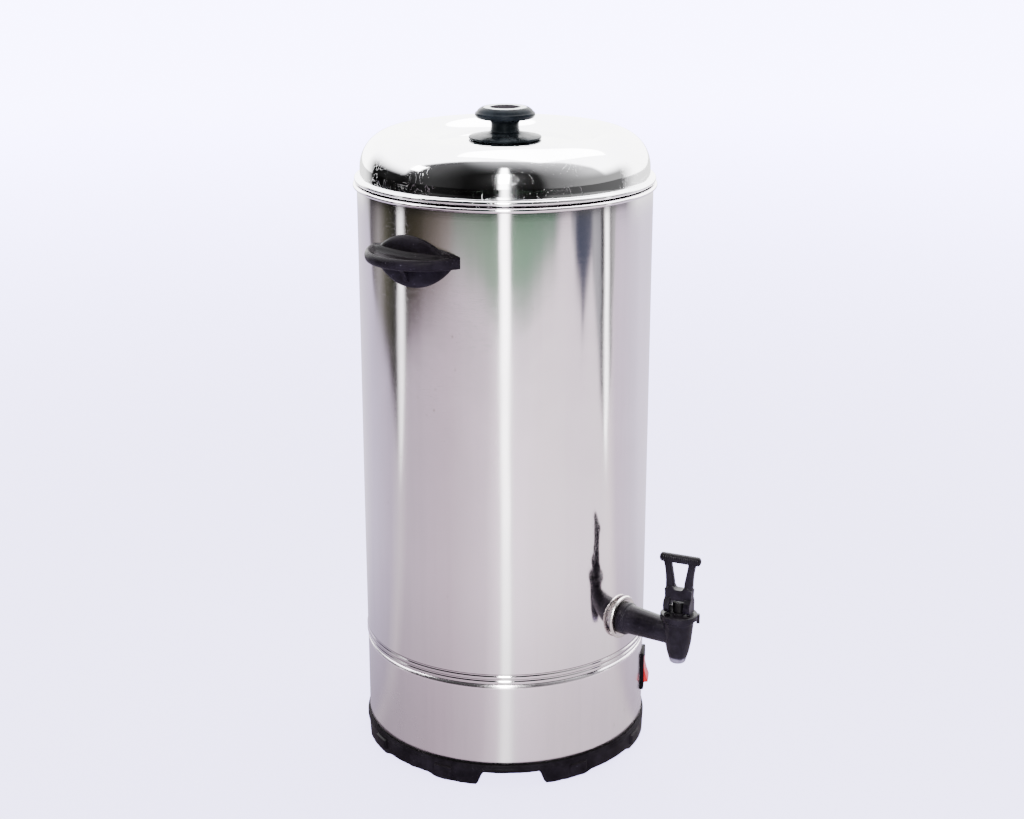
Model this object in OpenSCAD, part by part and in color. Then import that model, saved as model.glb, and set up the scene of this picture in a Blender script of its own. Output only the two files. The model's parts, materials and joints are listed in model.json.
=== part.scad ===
// Electric hot-water urn for catering: a tall stainless steel tank on a steel
// skirt with a plastic base ring, a lift-off lid, two side handles and a lever tap.
// The origin is on the tank's axis at the table. The tap points along -Y and the
// handles along -X and +X. Azimuths are degrees from the tap, turning towards +X.

/* [Tank and skirt] */
// Outer radius of the tank and the skirt
body_r = 135; // [133:0.5:137]
// Thickness of the steel sheet
sheet_t = 1; // [0.8:0.1:1.1]
// Height of the tank's rim above the table
rim_z = 545; // [535:1:560]
// Height of the skirt's top edge, where the tank starts
seam_z = 104; // [103:0.5:105]
// Height of the skirt's bottom edge
skirt_z = 20; // [19.5:0.5:20.5]

/* [Lid] */
// Height of the lid's crest above the tank's rim
lid_h = 46; // [44:0.5:50]
// Radius of the lid's crest
crest_r = 99; // [96:0.5:101]
// Depth of the dished centre below the crest
dish_d = 10.4; // [9:0.2:11]
// Radius of the knob's top
knob_r = 27.4; // [26:0.2:29]

/* [Handles] */
// Height of the middle of the handle plates
handle_z = 493; // [480:1:500]
// Reach of a grip out of the tank's wall
grip_reach = 33; // [30:1:38]
// Thickness of a grip
grip_t = 10; // [9.5:0.5:11]

/* [Tap] */
// Height of the tap's arm
tap_z = 149; // [148:0.5:151]
// Distance from the tank's wall to the spout's axis
tap_reach = 64.5; // [60:0.5:70]
// Turn of the lever's bar away from the tap's arm
lever_turn = 13.5; // [0:0.5:30]

/* [Base and electrics] */
// Turn of the base ring on the skirt
base_turn = -5; // [-10:1:10]
// Azimuth of the power switch
switch_az = 30; // [25:1:35]
// Height of the middle of the power switch
switch_z = 66; // [64:1:67]
// Height of the middle of the power inlet
inlet_z = 62; // [60:1:64]

/* [Hidden] */
$fn = 48;
inner_r = body_r - sheet_t;
weld = 0.05;

// Seam and rim beads of the tank
rim_bead_r = 2.2;
seam_bead_r = 3;
seam_bead_out = 0.9;
seam_beads = [2.6, 7.4];
floor_z = seam_z + 9;
floor_top = floor_z + sheet_t;

// Lid
lid_gap = 1;
lid_bead_r = 2.5;
lid_bead_z = rim_z + lid_gap + lid_bead_r;
lid_wall_r = body_r - 2.9;
lid_step_z = lid_bead_z + 2;
lip_r = inner_r - 2.4;
lip_z = rim_z - 9;
crest_z = rim_z + lid_h;
shoulder_r = lid_wall_r - crest_r;
dish_r = 62;
dish_z = crest_z - dish_d;
dish_rise = 2.4;
knob_z = dish_z + dish_rise;
slope_a = 2 * atan(dish_d / (crest_r - dish_r));
slope_r = (crest_r - dish_r) / (2 * sin(slope_a));

// Handles
plate_w = 43.5;
plate_h = 23;
plate_t = 5;
grip_r = 50;
grip_x = body_r + grip_reach - grip_r;
grip_z = handle_z - 1.5;
dish_pocket = 3;
grip_rim = 5.5;
handle_screw_az = 11;
handle_screw_z = grip_z + 3.3;

// Tap, with heights counted from the tap's arm
tap_y = body_r + tap_reach;
washer_r = 20.3;
thread_r = 8;
arm_bore_r = 5.5;
collar_y = body_r + 4.2;
chamber_r = 9.5;
chamber_z = tap_z - 10;
tap_top = tap_z + 16;
bonnet_top = tap_top + 5.4;
stem_r = 4;
pin_z = bonnet_top + 6.6;
pin_r = 1.5;
cam_drop = 6.2;
lever_travel = 90;
stem_lift = 4;
cam_k = stem_lift / (lever_travel * PI / 180);
cheek_w = 12.6;
slot_w = 6.6;
slot_r = 8.2;
bar_z = tap_z + 73.5;
bar_r = 4.5;
bar_l = 38.4;

// Base
ring_r = body_r + 2.2;
ring_z = 3.5;
ring_wall = 4;
shelf_t = 5;
foot_r = 122.6;
foot_pad_r = 9;
foot_az = [0, 90, 180, 270];
screw_az = [45, 135, 225, 315];
base_screw_r = 126;
screw_hole_r = 2.2;
clip_az = 17.5;
cutout_half = 33;
cutout_slope = 8;

// Electrics under the tank
sensor_x = 18;
stud_x = 40;
block_x = 12;
block_y = 60;
leg_x = 19;
element_r = 80;
tube_r = 4;
element_z = floor_top + 12;
leg_y = sqrt(element_r * element_r - leg_x * leg_x);
rocker_tilt = 12;

// ---- helpers ----

// Places children in a frame whose -Y axis points outwards at an azimuth
module at_az(az) rotate([0, 0, az]) children();

// A rod along -Y from y0 to y1, given as distances from the tank's axis
module rod_out(y0, y1, r0, r1) {
    translate([0, -y0, 0]) rotate([90, 0, 0]) cylinder(h = y1 - y0, r1 = r0, r2 = r1);
}

// A ring about a vertical axis
module tube(r_out, r_in, h) {
    difference() {
        cylinder(h = h, r = r_out);
        translate([0, 0, -1]) cylinder(h = h + 2, r = r_in);
    }
}

// A hexagonal nut about a vertical axis, r_hex to its corners
module nut(r_hex, r_in, h) {
    difference() {
        cylinder(h = h, r = r_hex, $fn = 6);
        translate([0, 0, -1]) cylinder(h = h + 2, r = r_in);
    }
}

// Points along an arc in the plane of a turned profile
function arc(c, r, a0, a1, n) =
    [for (i = [0 : n]) let (a = a0 + (a1 - a0) * i / n) c + r * [cos(a), sin(a)]];

// Skin of a round tube through rings of points, with flat ends
module skin(rings) {
    n = len(rings[0]);
    last = len(rings) - 1;
    sides = [for (k = [0 : last - 1], j = [0 : n - 1])
        let (a = k * n + j, b = k * n + (j + 1) % n) each [[b, b + n, a + n], [b, a + n, a]]];
    ends = [[for (j = [0 : n - 1]) j], [for (j = [n - 1 : -1 : 0]) last * n + j]];
    polyhedron([for (ring = rings) each ring], concat(sides, ends));
}

// Smooth curve through points, with n steps from each point to the next
function near(p, i) = p[max(0, min(len(p) - 1, i))];
function between(a, b, c, d, t) = (2 * b + (c - a) * t + (2 * a - 5 * b + 4 * c - d) * t * t
    + (3 * b - a - 3 * c + d) * t * t * t) / 2;
function curve(p, n) = [for (i = [0 : len(p) - 2], k = [0 : n - (i == len(p) - 2 ? 0 : 1)])
    between(near(p, i - 1), p[i], p[i + 1], near(p, i + 2), k / n)];

// Ring of a lead's points around point k of curve c, set out from a direction that no lead runs along
ring_axis = [0.6, 0, -1];
function lead_ring(c, k, r) = let (v = near(c, k + 1) - near(c, k - 1), t = v / norm(v),
        w = cross(t, ring_axis), u = w / norm(w), q = cross(t, u))
    [for (j = [0 : 7]) c[k] + r * (cos(45 * j) * u + sin(45 * j) * q)];

// A lead that bends smoothly through points
module lead(points, r) {
    c = curve(points, 5);
    skin([for (k = [0 : len(c) - 1]) lead_ring(c, k, r)]);
}

// ---- tank, skirt and base ----

module tank_shell() {
    color("gainsboro") difference() {
        rotate_extrude($fn = 96) {
            translate([inner_r, seam_z]) square([sheet_t, rim_z - rim_bead_r - seam_z]);
            translate([body_r + rim_bead_r - 0.9, rim_z - rim_bead_r]) circle(rim_bead_r);
            for (z = seam_beads) intersection() {
                translate([body_r + seam_bead_out - seam_bead_r, seam_z + z]) circle(seam_bead_r);
                translate([inner_r + sheet_t / 2, seam_z]) square([5, 12]);
            }
        }
        translate([0, 0, tap_z]) rod_out(inner_r - 5, body_r + 5, thread_r + 0.1, thread_r + 0.1);
        handle_screw_holes(2.7);
    }
}

module tank_floor() {
    color("silver") difference() {
        rotate_extrude($fn = 96) {
            translate([0, floor_z]) square([inner_r - weld, sheet_t]);
            translate([inner_r - weld - sheet_t, floor_z]) square([sheet_t, 11]);
        }
        for (x = [-leg_x, leg_x]) translate([x, leg_y, floor_z - 1]) cylinder(h = 4, r = 6.6);
    }
}

module skirt() {
    color("lightgray") difference() {
        rotate_extrude($fn = 96) {
            translate([inner_r, skirt_z]) square([sheet_t, seam_z - skirt_z]);
            translate([base_screw_r - 6, skirt_z]) square([body_r - base_screw_r + 5.5, sheet_t]);
            translate([inner_r - weld - sheet_t, seam_z - 5]) square([sheet_t, 12]);
            translate([inner_r - weld - sheet_t, seam_z - 5]) square([sheet_t + 0.5, 4]);
        }
        at_az(switch_az) translate([-11.4, -body_r - 5, switch_z - 16.1]) cube([22.8, 15, 32.2]);
        at_az(180) inlet_panel_holes();
        for (az = screw_az) at_az(az + base_turn)
            translate([0, -base_screw_r, skirt_z - 1]) cylinder(h = 4, r = screw_hole_r);
    }
}

module inlet_panel_holes() {
    translate([-10.4, -body_r - 5, inlet_z - 14]) cube([20.8, 15, 28]);
    for (z = [-20, 20]) translate([0, 0, inlet_z + z]) rod_out(inner_r - 5, body_r + 5, 1.7, 1.7);
}

// Gap in the base ring's wall between two feet, with sloping ends
module base_cutout() {
    top = skirt_z - shelf_t - 0.5;
    translate([0, -base_screw_r - 16, 0]) rotate([-90, 0, 0])
        linear_extrude(height = 26)
            polygon([[-cutout_half, -ring_z + 1], [cutout_half, -ring_z + 1], [cutout_half, -ring_z],
                     [cutout_half - cutout_slope, -top], [cutout_slope - cutout_half, -top],
                     [-cutout_half, -ring_z]]);
}

module base_ring() {
    color([0.13, 0.12, 0.13]) difference() {
        union() {
            rotate_extrude($fn = 96) {
                translate([ring_r - ring_wall, ring_z]) square([ring_wall, skirt_z - 1.5 - ring_z]);
                translate([118, skirt_z - shelf_t]) square([ring_r - 1 - 118, shelf_t]);
                translate([body_r + 0.2, skirt_z - 1]) square([1.1, 3]);
            }
            for (az = foot_az) at_az(az + base_turn)
                translate([0, -foot_r, ring_z]) cylinder(h = skirt_z - shelf_t + 1 - ring_z, r = foot_pad_r + 2);
            for (az = foot_az, side = [-clip_az, clip_az]) at_az(az + base_turn + side)
                translate([-9, -ring_r - 0.8, 7]) cube([18, 3, 10]);
        }
        for (az = foot_az) at_az(az + base_turn)
            translate([0, -foot_r, ring_z - 1]) cylinder(h = 6, r = foot_pad_r + 0.1);
        for (az = screw_az) at_az(az + base_turn) {
            base_cutout();
            translate([0, -base_screw_r, skirt_z - shelf_t - 1]) cylinder(h = shelf_t + 2, r = screw_hole_r);
        }
    }
}

module base_plate() {
    color("darkgray") difference() {
        translate([0, 0, skirt_z - shelf_t - 1.2]) cylinder(h = 1.2, r = 131.5, $fn = 96);
        for (az = screw_az) at_az(az + base_turn)
            translate([0, -base_screw_r, 0]) cylinder(h = 30, r = screw_hole_r);
        for (az = foot_az) at_az(az + base_turn)
            translate([0, -foot_r, 0]) cylinder(h = 30, r = foot_pad_r + 2.5);
        for (az = [20 : 40 : 340], r = [70, 85]) at_az(az) translate([-12, -r, 0]) cube([24, 5, 30]);
        translate([-sensor_x, 0, 0]) cylinder(h = 30, r = 5);
        for (x = [-block_x, block_x]) translate([x, block_y, 0]) cylinder(h = 30, r = 1.6);
    }
}

module foot_pads() {
    color([0.2, 0.2, 0.2]) for (az = foot_az) at_az(az + base_turn)
        translate([0, -foot_r, 0]) cylinder(h = 8.4, r = foot_pad_r);
}

module base_screws() {
    color("gray") for (az = screw_az) at_az(az + base_turn) translate([0, -base_screw_r, 0]) {
        translate([0, 0, skirt_z - shelf_t - 3.2]) cylinder(h = 2, r = 4);
        translate([0, 0, skirt_z - shelf_t - 2]) cylinder(h = shelf_t + 9, r = 2);
    }
}

module base_nuts() {
    color("darkgray") for (az = screw_az) at_az(az + base_turn)
        translate([0, -base_screw_r, skirt_z + sheet_t]) nut(4, 2.05, 3.2);
}

// ---- lid ----

lid_outer = concat([[lid_wall_r, lid_step_z]],
    arc([crest_r, crest_z - shoulder_r], shoulder_r, 0, 90, 12),
    arc([crest_r, crest_z - slope_r], slope_r, 90, 90 + slope_a, 5),
    arc([dish_r, dish_z + slope_r], slope_r, 270 + slope_a, 270, 5),
    [[dish_r * 0.5, knob_z - dish_rise / 4], [0, knob_z]]);

lid_inner = concat([[0, knob_z - sheet_t], [dish_r * 0.5, knob_z - sheet_t - dish_rise / 4]],
    arc([dish_r, dish_z + slope_r], slope_r + sheet_t, 270, 270 + slope_a, 5),
    arc([crest_r, crest_z - slope_r], slope_r - sheet_t, 90 + slope_a, 90, 5),
    arc([crest_r, crest_z - shoulder_r], shoulder_r - sheet_t, 90, 0, 12));

module lid_shell() {
    color("whitesmoke") difference() {
        rotate_extrude($fn = 96) {
            polygon(concat([[body_r - 0.3, lid_step_z]], lid_outer, lid_inner,
                [[lid_wall_r - sheet_t, lip_z + 8], [lip_r - sheet_t, lip_z + 8], [lip_r - sheet_t, lip_z],
                 [lip_r, lip_z], [lip_r, lid_bead_z - 1], [body_r - 0.3, lid_bead_z - 1]]));
            translate([body_r - 0.3, lid_bead_z]) circle(lid_bead_r);
        }
        translate([0, 0, knob_z - 5]) cylinder(h = 10, r = 2.7);
    }
}

module knob_flange() {
    color([0.15, 0.15, 0.17]) translate([0, 0, knob_z]) rotate_extrude()
        polygon([[2.7, 0.05], [15, 0.05], [17, 1.2], [31.5, 1.6], [33.2, 2.4], [33, 3.1],
                 [22, 4.3], [16, 5.4], [13.4, 6.6], [2.7, 6.6]]);
}

module knob_grip() {
    z1 = knob_z + 6.6;
    color([0.17, 0.18, 0.2]) rotate_extrude()
        polygon(concat([[2.6, z1], [13, z1], [12.8, z1 + 5]],
            arc([17.3, z1 + 6], 4.5, 180, 100, 4),
            [[knob_r - 3.5, z1 + 11.8]],
            arc([knob_r - 3.4, z1 + 15.2], 3.4, -60, 30, 5),
            arc([knob_r - 10, z1 + 11.8], 10.2, 30, 74, 4),
            [[19.9, z1 + 21.2], [19.9, z1 + 20], [6, z1 + 20], [2.6, z1 + 14]]));
}

module knob_ring() {
    color("white") translate([0, 0, knob_z + 26.6]) tube(19.7, 13.9, 1.6);
}

module knob_cap() {
    color("silver") translate([0, 0, knob_z + 26.6]) {
        cylinder(h = 1.4, r = 13.7);
        cylinder(h = 1.8, r = 12.6);
    }
}

module knob_screw() {
    color("gray") {
        translate([0, 0, knob_z - sheet_t - 4.4]) cylinder(h = 2.8, r = 4.5);
        translate([0, 0, knob_z - sheet_t - 2]) cylinder(h = 21, r = 2.5);
    }
}

module knob_washer() {
    color("silver") translate([0, 0, knob_z - sheet_t - 1.55]) tube(8, 2.6, 1.2);
}

// ---- handles ----

module lens_outline() {
    lens_r = (plate_w * plate_w + plate_h * plate_h) / (2 * plate_h) + 2;
    intersection() {
        translate([0, lens_r - plate_h]) circle(lens_r, $fn = 96);
        translate([0, plate_h - lens_r]) circle(lens_r, $fn = 96);
        square([2 * plate_w, 2 * plate_h], center = true);
    }
}

// Screw places of the two handles, in frames whose -Y axis points outwards
module at_handle_screws(sides) {
    for (side = sides, turn = [-handle_screw_az, handle_screw_az])
        at_az(side + turn) translate([0, 0, handle_screw_z]) children();
}

module handle_screw_holes(r) at_handle_screws([-90, 90]) rod_out(inner_r - 5, body_r + 5, r, r);

module handle_body() {
    difference() {
        union() {
            intersection() {
                cylinder(h = rim_z, r = body_r + plate_t, $fn = 96);
                translate([0, 0, handle_z]) rotate([90, 0, 90])
                    linear_extrude(height = body_r + 20) lens_outline();
            }
            difference() {
                translate([grip_x, 0, grip_z]) cylinder(h = grip_t, r = grip_r, $fn = 96);
                intersection() {
                    translate([grip_x, 0, grip_z + grip_t - dish_pocket])
                        cylinder(h = 5, r = grip_r - grip_rim, $fn = 96);
                    translate([body_r + 4, -50, grip_z]) cube([50, 100, 20]);
                }
                translate([0, 0, grip_z - 1]) cylinder(h = 20, r = body_r - 2);
            }
            translate([0, 2.5, 0]) rotate([90, 0, 0]) linear_extrude(height = 5)
                polygon([[body_r - 1, handle_z - 18], [body_r + 5, handle_z - 18],
                         [body_r + 17, grip_z + 1], [body_r - 1, grip_z + 1]]);
        }
        translate([0, 0, handle_z - 50]) cylinder(h = 100, r = body_r + weld, $fn = 96);
        at_az(90) for (turn = [-handle_screw_az, handle_screw_az]) at_az(turn)
            translate([0, 0, handle_screw_z]) rod_out(body_r - 5, body_r + 15, 2.52, 2.52);
    }
}

module handle_left() color([0.14, 0.13, 0.14]) rotate([0, 0, 180]) handle_body();
module handle_right() color([0.14, 0.13, 0.14]) handle_body();

module handle_screws() {
    color("gray") at_handle_screws([-90, 90]) {
        rod_out(inner_r - 5, inner_r - 2.7, 4.6, 4.6);
        rod_out(inner_r - 4, body_r + 14, 2.5, 2.5);
    }
}

module handle_seals() {
    color("white") at_handle_screws([-90, 90]) difference() {
        rod_out(inner_r - 2.7, inner_r - 0.3, 6, 6);
        rod_out(inner_r - 5, inner_r + 5, 2.6, 2.6);
    }
}

// ---- tap ----

module tap_body() {
    color([0.13, 0.12, 0.13]) difference() {
        union() {
            translate([0, 0, tap_z]) {
                rod_out(inner_r - 13, collar_y + 1, thread_r, thread_r);
                rod_out(collar_y, collar_y + 6, 15.3, 15.3);
                rod_out(collar_y + 6, collar_y + 7, 15.3, 14.3);
                rod_out(collar_y + 6, tap_y, 13.6, 11);
            }
            translate([0, -tap_y, tap_z]) rotate_extrude()
                polygon([[0, -27.5], [6.4, -27.5], [7.1, -26.8], [10.4, -16.6], [12, -6.8],
                         [14, 12.7], [14.2, 16], [0, 16]]);
        }
        translate([0, 0, tap_z]) rod_out(inner_r - 20, tap_y, arm_bore_r, arm_bore_r);
        translate([0, -tap_y, chamber_z]) cylinder(h = 40, r = chamber_r);
        translate([0, -tap_y, 100]) cylinder(h = 60, r = 5);
    }
}

module tap_washer() {
    color("whitesmoke") translate([0, 0, tap_z]) {
        difference() {
            rod_out(body_r + 3, body_r + 4, 19, 19);
            rod_out(body_r, body_r + 6, thread_r + 0.3, thread_r + 0.3);
        }
        translate([0, -body_r - 3, 0]) rotate([90, 0, 0]) rotate_extrude()
            translate([washer_r - 1.7, -0.4]) circle(1.7);
    }
}

module tap_seal(y0, y1) {
    color([0.9, 0.9, 0.88]) translate([0, 0, tap_z]) difference() {
        rod_out(y0, y1, 13.5, 13.5);
        rod_out(y0 - 1, y1 + 1, thread_r + 0.2, thread_r + 0.2);
    }
}

module tap_seal_outer() tap_seal(body_r + weld, body_r + 2.95);
module tap_seal_inner() tap_seal(inner_r - 3.6, inner_r - 0.75);

module tap_nut() {
    color([0.92, 0.92, 0.9]) translate([0, -inner_r + 3.7, tap_z]) rotate([-90, 0, 0])
        nut(14, thread_r + 0.05, 6.5);
}

module tap_bonnet() {
    color([0.13, 0.12, 0.13]) translate([0, -tap_y, 0]) difference() {
        union() {
            translate([0, 0, tap_top + 0.05]) cylinder(h = bonnet_top - tap_top - 1.05, r = 17.1);
            translate([0, 0, bonnet_top - 1]) cylinder(h = 1, r1 = 17.1, r2 = 16.3);
            translate([0, 0, tap_top - 6.5]) cylinder(h = 8, r = chamber_r - 0.1);
            at_az(38.5) translate([-2, -18.4, tap_top - 5]) cube([4, 4, 8]);
        }
        translate([0, 0, tap_top - 10]) cylinder(h = 30, r = stem_r + 0.08);
        translate([0, 0, tap_top - 7]) cylinder(h = 3, r = 8);
    }
}

// Frame of the lever: +X is the way it swings, +Y is along its bar and its pin
module lever_frame() translate([0, -tap_y, 0]) rotate([0, 0, 180 + lever_turn]) children();

module valve_stem() {
    color("silver") lever_frame() difference() {
        union() {
            translate([0, 0, tap_z - 2]) cylinder(h = pin_z - tap_z, r = stem_r);
            translate([0, 0, tap_z - 3]) cylinder(h = 2.5, r = 6);
            translate([0, 0, chamber_z + 2]) cylinder(h = 7, r = 2.5);
            translate([0, 0, bonnet_top + 0.9]) cylinder(h = pin_z + 4.5 - bonnet_top - 0.9, r = 5.6);
        }
        translate([0, 0, pin_z]) rotate([90, 0, 0]) cylinder(h = 20, r = pin_r + 0.06, center = true);
    }
}

module seat_cup() {
    color([0.85, 0.85, 0.82]) translate([0, -tap_y, chamber_z + 0.3]) difference() {
        union() {
            cylinder(h = 3, r1 = 6.5, r2 = 8.4);
            translate([0, 0, 3]) cylinder(h = 3.6, r = 8.4);
        }
        translate([0, 0, 1.7]) cylinder(h = 10, r = 2.52);
        translate([0, 0, 4.5]) cylinder(h = 10, r = 7);
    }
}

spring_turns = 4;
spring_h = tap_top - 4.6 - (tap_z + 0.1);
spring_sides = 8;
spring_steps = 20 * spring_turns;

// Ring k of the wire of the valve spring
function spring_ring(k) = let (a = 360 * spring_turns * k / spring_steps,
        z = 0.6 + (spring_h - 1.2) * k / spring_steps)
    [for (j = [0 : spring_sides - 1]) let (b = 360 * j / spring_sides, r = 6.7 + 0.55 * cos(b))
        [r * cos(a), r * sin(a), z + 0.55 * sin(b)]];

module valve_spring() {
    color("silver") translate([0, -tap_y, tap_z]) skin([for (k = [0 : spring_steps]) spring_ring(k)]);
}

module lever_pin() {
    color("gray") lever_frame() translate([0, 0, pin_z]) rotate([90, 0, 0])
        cylinder(h = 2 * cheek_w - 0.6, r = pin_r, center = true);
}

// Cam face that lifts the stem evenly as the lever turns through angle t
function cam(t) = let (h = cam_drop + cam_k * t * PI / 180)
    [h * sin(t) + cam_k * cos(t), cam_k * sin(t) - h * cos(t)];

module lever_cam() {
    translate([0, 0, pin_z]) rotate([90, 0, 0]) linear_extrude(height = 2 * cheek_w, center = true)
        polygon(concat([[-5.5, -cam_drop], [-6.8, -cam_drop + 1.3], [-6.8, 6], [-5, 8.4]],
            [[6, 8.4], [9.6, 5.4]], [for (t = [lever_travel : -5 : 0]) cam(t)]));
}

module lever_loop() {
    top = bar_z;
    rotate([90, 0, 90]) linear_extrude(height = 7.6, center = true) difference() {
        polygon([[-cheek_w, pin_z + 4], [cheek_w, pin_z + 4], [15.2, top], [-15.2, top]]);
        polygon([[-8.1, top - bar_r + 0.4], [8.1, top - bar_r + 0.4], [3.9, pin_z + 19], [-3.9, pin_z + 19]]);
        translate([0, pin_z + 18.6]) circle(3.95);
    }
}

module tap_lever() {
    color([0.13, 0.12, 0.13]) lever_frame() difference() {
        union() {
            lever_cam();
            lever_loop();
            translate([0, 0, bar_z]) rotate([90, 0, 0]) {
                cylinder(h = bar_l - 4, r = bar_r, center = true);
                cylinder(h = bar_l - 1.6, r = bar_r - 1, center = true);
                cylinder(h = bar_l, r = bar_r - 2.2, center = true);
            }
        }
        translate([0, 0, pin_z]) rotate([90, 0, 0]) {
            cylinder(h = 2 * slot_w, r = slot_r, center = true);
            cylinder(h = 40, r = pin_r + 0.02, center = true);
        }
        translate([-20, -slot_w, pin_z - 20]) cube([20, 2 * slot_w, 20]);
        translate([0, -slot_w, pin_z - 20]) cube([20, 2 * slot_w, 20 + stem_r + 0.5]);
    }
}

// ---- heating and controls under the tank ----

module heating_element() {
    color("gray") translate([0, 0, element_z]) {
        start = atan2(leg_y, leg_x);
        rotate([0, 0, start + 0.1 - 360 + 2 * (90 - start)]) rotate_extrude(angle = 360 - 2 * (90 - start) - 0.2)
            translate([element_r, 0]) circle(tube_r);
        for (x = [-leg_x, leg_x]) translate([x, leg_y, 0]) {
            sphere(tube_r + 0.3);
            translate([0, 0, floor_z - 32 - element_z]) cylinder(h = element_z - floor_z + 32, r = tube_r);
        }
    }
}

module element_fittings() {
    color("goldenrod") for (x = [-leg_x, leg_x]) translate([x, leg_y, 0]) difference() {
        union() {
            translate([0, 0, floor_z - 14]) cylinder(h = 18, r = 6.4);
            translate([0, 0, floor_top + 1.6]) cylinder(h = 3, r = 9);
        }
        cylinder(h = 200, r = tube_r + 0.05);
    }
}

module element_seals() {
    color("white") for (x = [-leg_x, leg_x]) translate([x, leg_y, floor_top + 0.05]) tube(8.6, 6.5, 1.5);
}

module element_nuts() {
    color("gold") for (x = [-leg_x, leg_x]) translate([x, leg_y, floor_z - 5.1]) nut(9.5, 6.45, 5);
}

module thermostat() {
    color("saddlebrown") sensor_body(sensor_x);
}

module boil_dry_cutout() {
    color("black") difference() {
        sensor_body(-sensor_x);
        translate([-sensor_x, 0, floor_z - 12]) cylinder(h = 7, r = 2.5);
    }
}

// Disc body of a heat sensor against the tank's floor, with its two blades
module sensor_body(x) {
    translate([x, 0, floor_z - 10.05]) {
        cylinder(h = 10, r = 9);
        for (side = [-1, 1]) translate([-3.2, side * 12 - 5, 2]) cube([6.4, 10, 0.9]);
    }
}

module reset_button() {
    color("red") translate([-sensor_x, 0, 0]) {
        translate([0, 0, floor_z - 18]) cylinder(h = 10.8, r = 2.42);
        translate([0, 0, floor_z - 19]) cylinder(h = 2, r = 3.2);
    }
}

module sensor_bracket() {
    color("silver") difference() {
        translate([-stud_x - 7, -7, floor_z - 11.3]) cube([2 * stud_x + 14, 14, 1.2]);
        for (x = [-stud_x, stud_x]) translate([x, 0, 80]) cylinder(h = 40, r = 2.15);
        translate([-sensor_x, 0, 80]) cylinder(h = 40, r = 3.6);
    }
}

module floor_studs() {
    color("silver") {
        for (x = [-stud_x, stud_x]) translate([x, 0, floor_z - 17]) cylinder(h = 16.95, r = 2);
        translate([0, -stud_x, floor_z - 14]) cylinder(h = 13.95, r = 2);
    }
}

module stud_nuts() {
    color("goldenrod") {
        for (x = [-stud_x, stud_x]) translate([x, 0, floor_z - 14.6]) nut(4, 2.05, 3.2);
        translate([0, -stud_x, floor_z - 11]) nut(4, 2.05, 3.2);
    }
}

module terminal_block() {
    color("ivory") translate([0, block_y, skirt_z - shelf_t]) difference() {
        translate([-19, -10, 0]) cube([38, 20, 17]);
        for (x = [-block_x, 0, block_x]) {
            translate([x, 0, 11]) rotate([90, 0, 0]) cylinder(h = 30, r = 2.2, center = true);
            translate([x, 0, 11]) cylinder(h = 8, r = 2);
        }
        for (x = [-block_x, block_x]) translate([x, 0, -1]) cylinder(h = 7, r = 1.55);
    }
}

module terminal_screws() {
    color("goldenrod") translate([0, block_y, skirt_z - shelf_t]) {
        for (x = [-block_x, 0, block_x]) translate([x, 0, 13.5]) cylinder(h = 3, r = 1.9);
        for (x = [-block_x, block_x]) translate([x, 0, -2.4]) {
            translate([0, 0, -0.6]) cylinder(h = 1.7, r = 2.8);
            cylinder(h = 8, r = 1.5);
        }
    }
}

// ---- switch and inlet in the skirt ----

module switch_housing() {
    color([0.12, 0.12, 0.13]) at_az(switch_az) translate([0, 0, switch_z]) difference() {
        union() {
            difference() {
                translate([-13, -body_r - 2.6, -19]) cube([26, 5, 38]);
                translate([0, 0, -30]) cylinder(h = 60, r = body_r + weld, $fn = 96);
            }
            translate([-11.2, -body_r - 1, -15.9]) cube([22.4, 23, 31.8]);
        }
        translate([-10.1, -body_r - 5, -14.7]) cube([20.2, 17, 29.4]);
        translate([0, -body_r + 2, 0]) rotate([0, 90, 0]) cylinder(h = 21.6, r = 1.46, center = true);
    }
}

// The rocker's outline faces +X, and tips about its pivot at the origin
module rocker_outline() {
    polygon([[6.3, -13.2], [5.9, -6], [5.7, 0], [5.9, 6], [6.3, 13.2], [3, 13], [-3, 8], [-5, 0], [-3, -8],
             [3, -13]]);
}

module switch_rocker() {
    color([0.85, 0.08, 0.08]) at_az(switch_az) translate([0, -body_r + 2, switch_z]) {
        rotate([0, 0, -90]) rotate([90, 0, 0]) rotate([0, 0, rocker_tilt])
            linear_extrude(height = 19.6, center = true) rocker_outline();
        rotate([0, 90, 0]) cylinder(h = 21.4, r = 1.4, center = true);
    }
}

module switch_blades() {
    color("goldenrod") at_az(switch_az) translate([0, 0, switch_z])
        for (z = [-9, 9]) translate([-3.2, -body_r + 22.1, z - 0.4]) cube([6.4, 9, 0.8]);
}

module inlet_housing() {
    color([0.1, 0.1, 0.11]) at_az(180) translate([0, 0, inlet_z]) difference() {
        union() {
            difference() {
                translate([-11.5, -body_r - 3, -25]) cube([23, 6, 50]);
                translate([0, 0, -30]) cylinder(h = 60, r = body_r + weld, $fn = 96);
            }
            translate([-10.2, -body_r - 1, -13.8]) cube([20.4, 28, 27.6]);
        }
        translate([-8.2, -body_r - 5, -12.3]) cube([16.4, 23, 24.6]);
        for (z = [-20, 20]) translate([0, 0, z]) rod_out(body_r - 10, body_r + 10, 1.7, 1.7);
        inlet_pin_places() translate([-1.05, -body_r, -2.55]) cube([2.1, 40, 5.1]);
    }
}

module inlet_pin_places() {
    for (p = [[-2, -7], [-2, 7], [2, 0]]) translate([p[0], 0, p[1]]) children();
}

module inlet_pins() {
    color("goldenrod") at_az(180) translate([0, 0, inlet_z]) inlet_pin_places()
        translate([-1, -body_r + 1, -2.5]) cube([2, 33, 5]);
}

module inlet_screws() {
    color("silver") at_az(180) for (z = [-20, 20]) translate([0, 0, inlet_z + z]) {
        rod_out(body_r + 3, body_r + 4.8, 3, 2);
        rod_out(body_r - 6, body_r + 3.5, 1.6, 1.6);
    }
}

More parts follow.
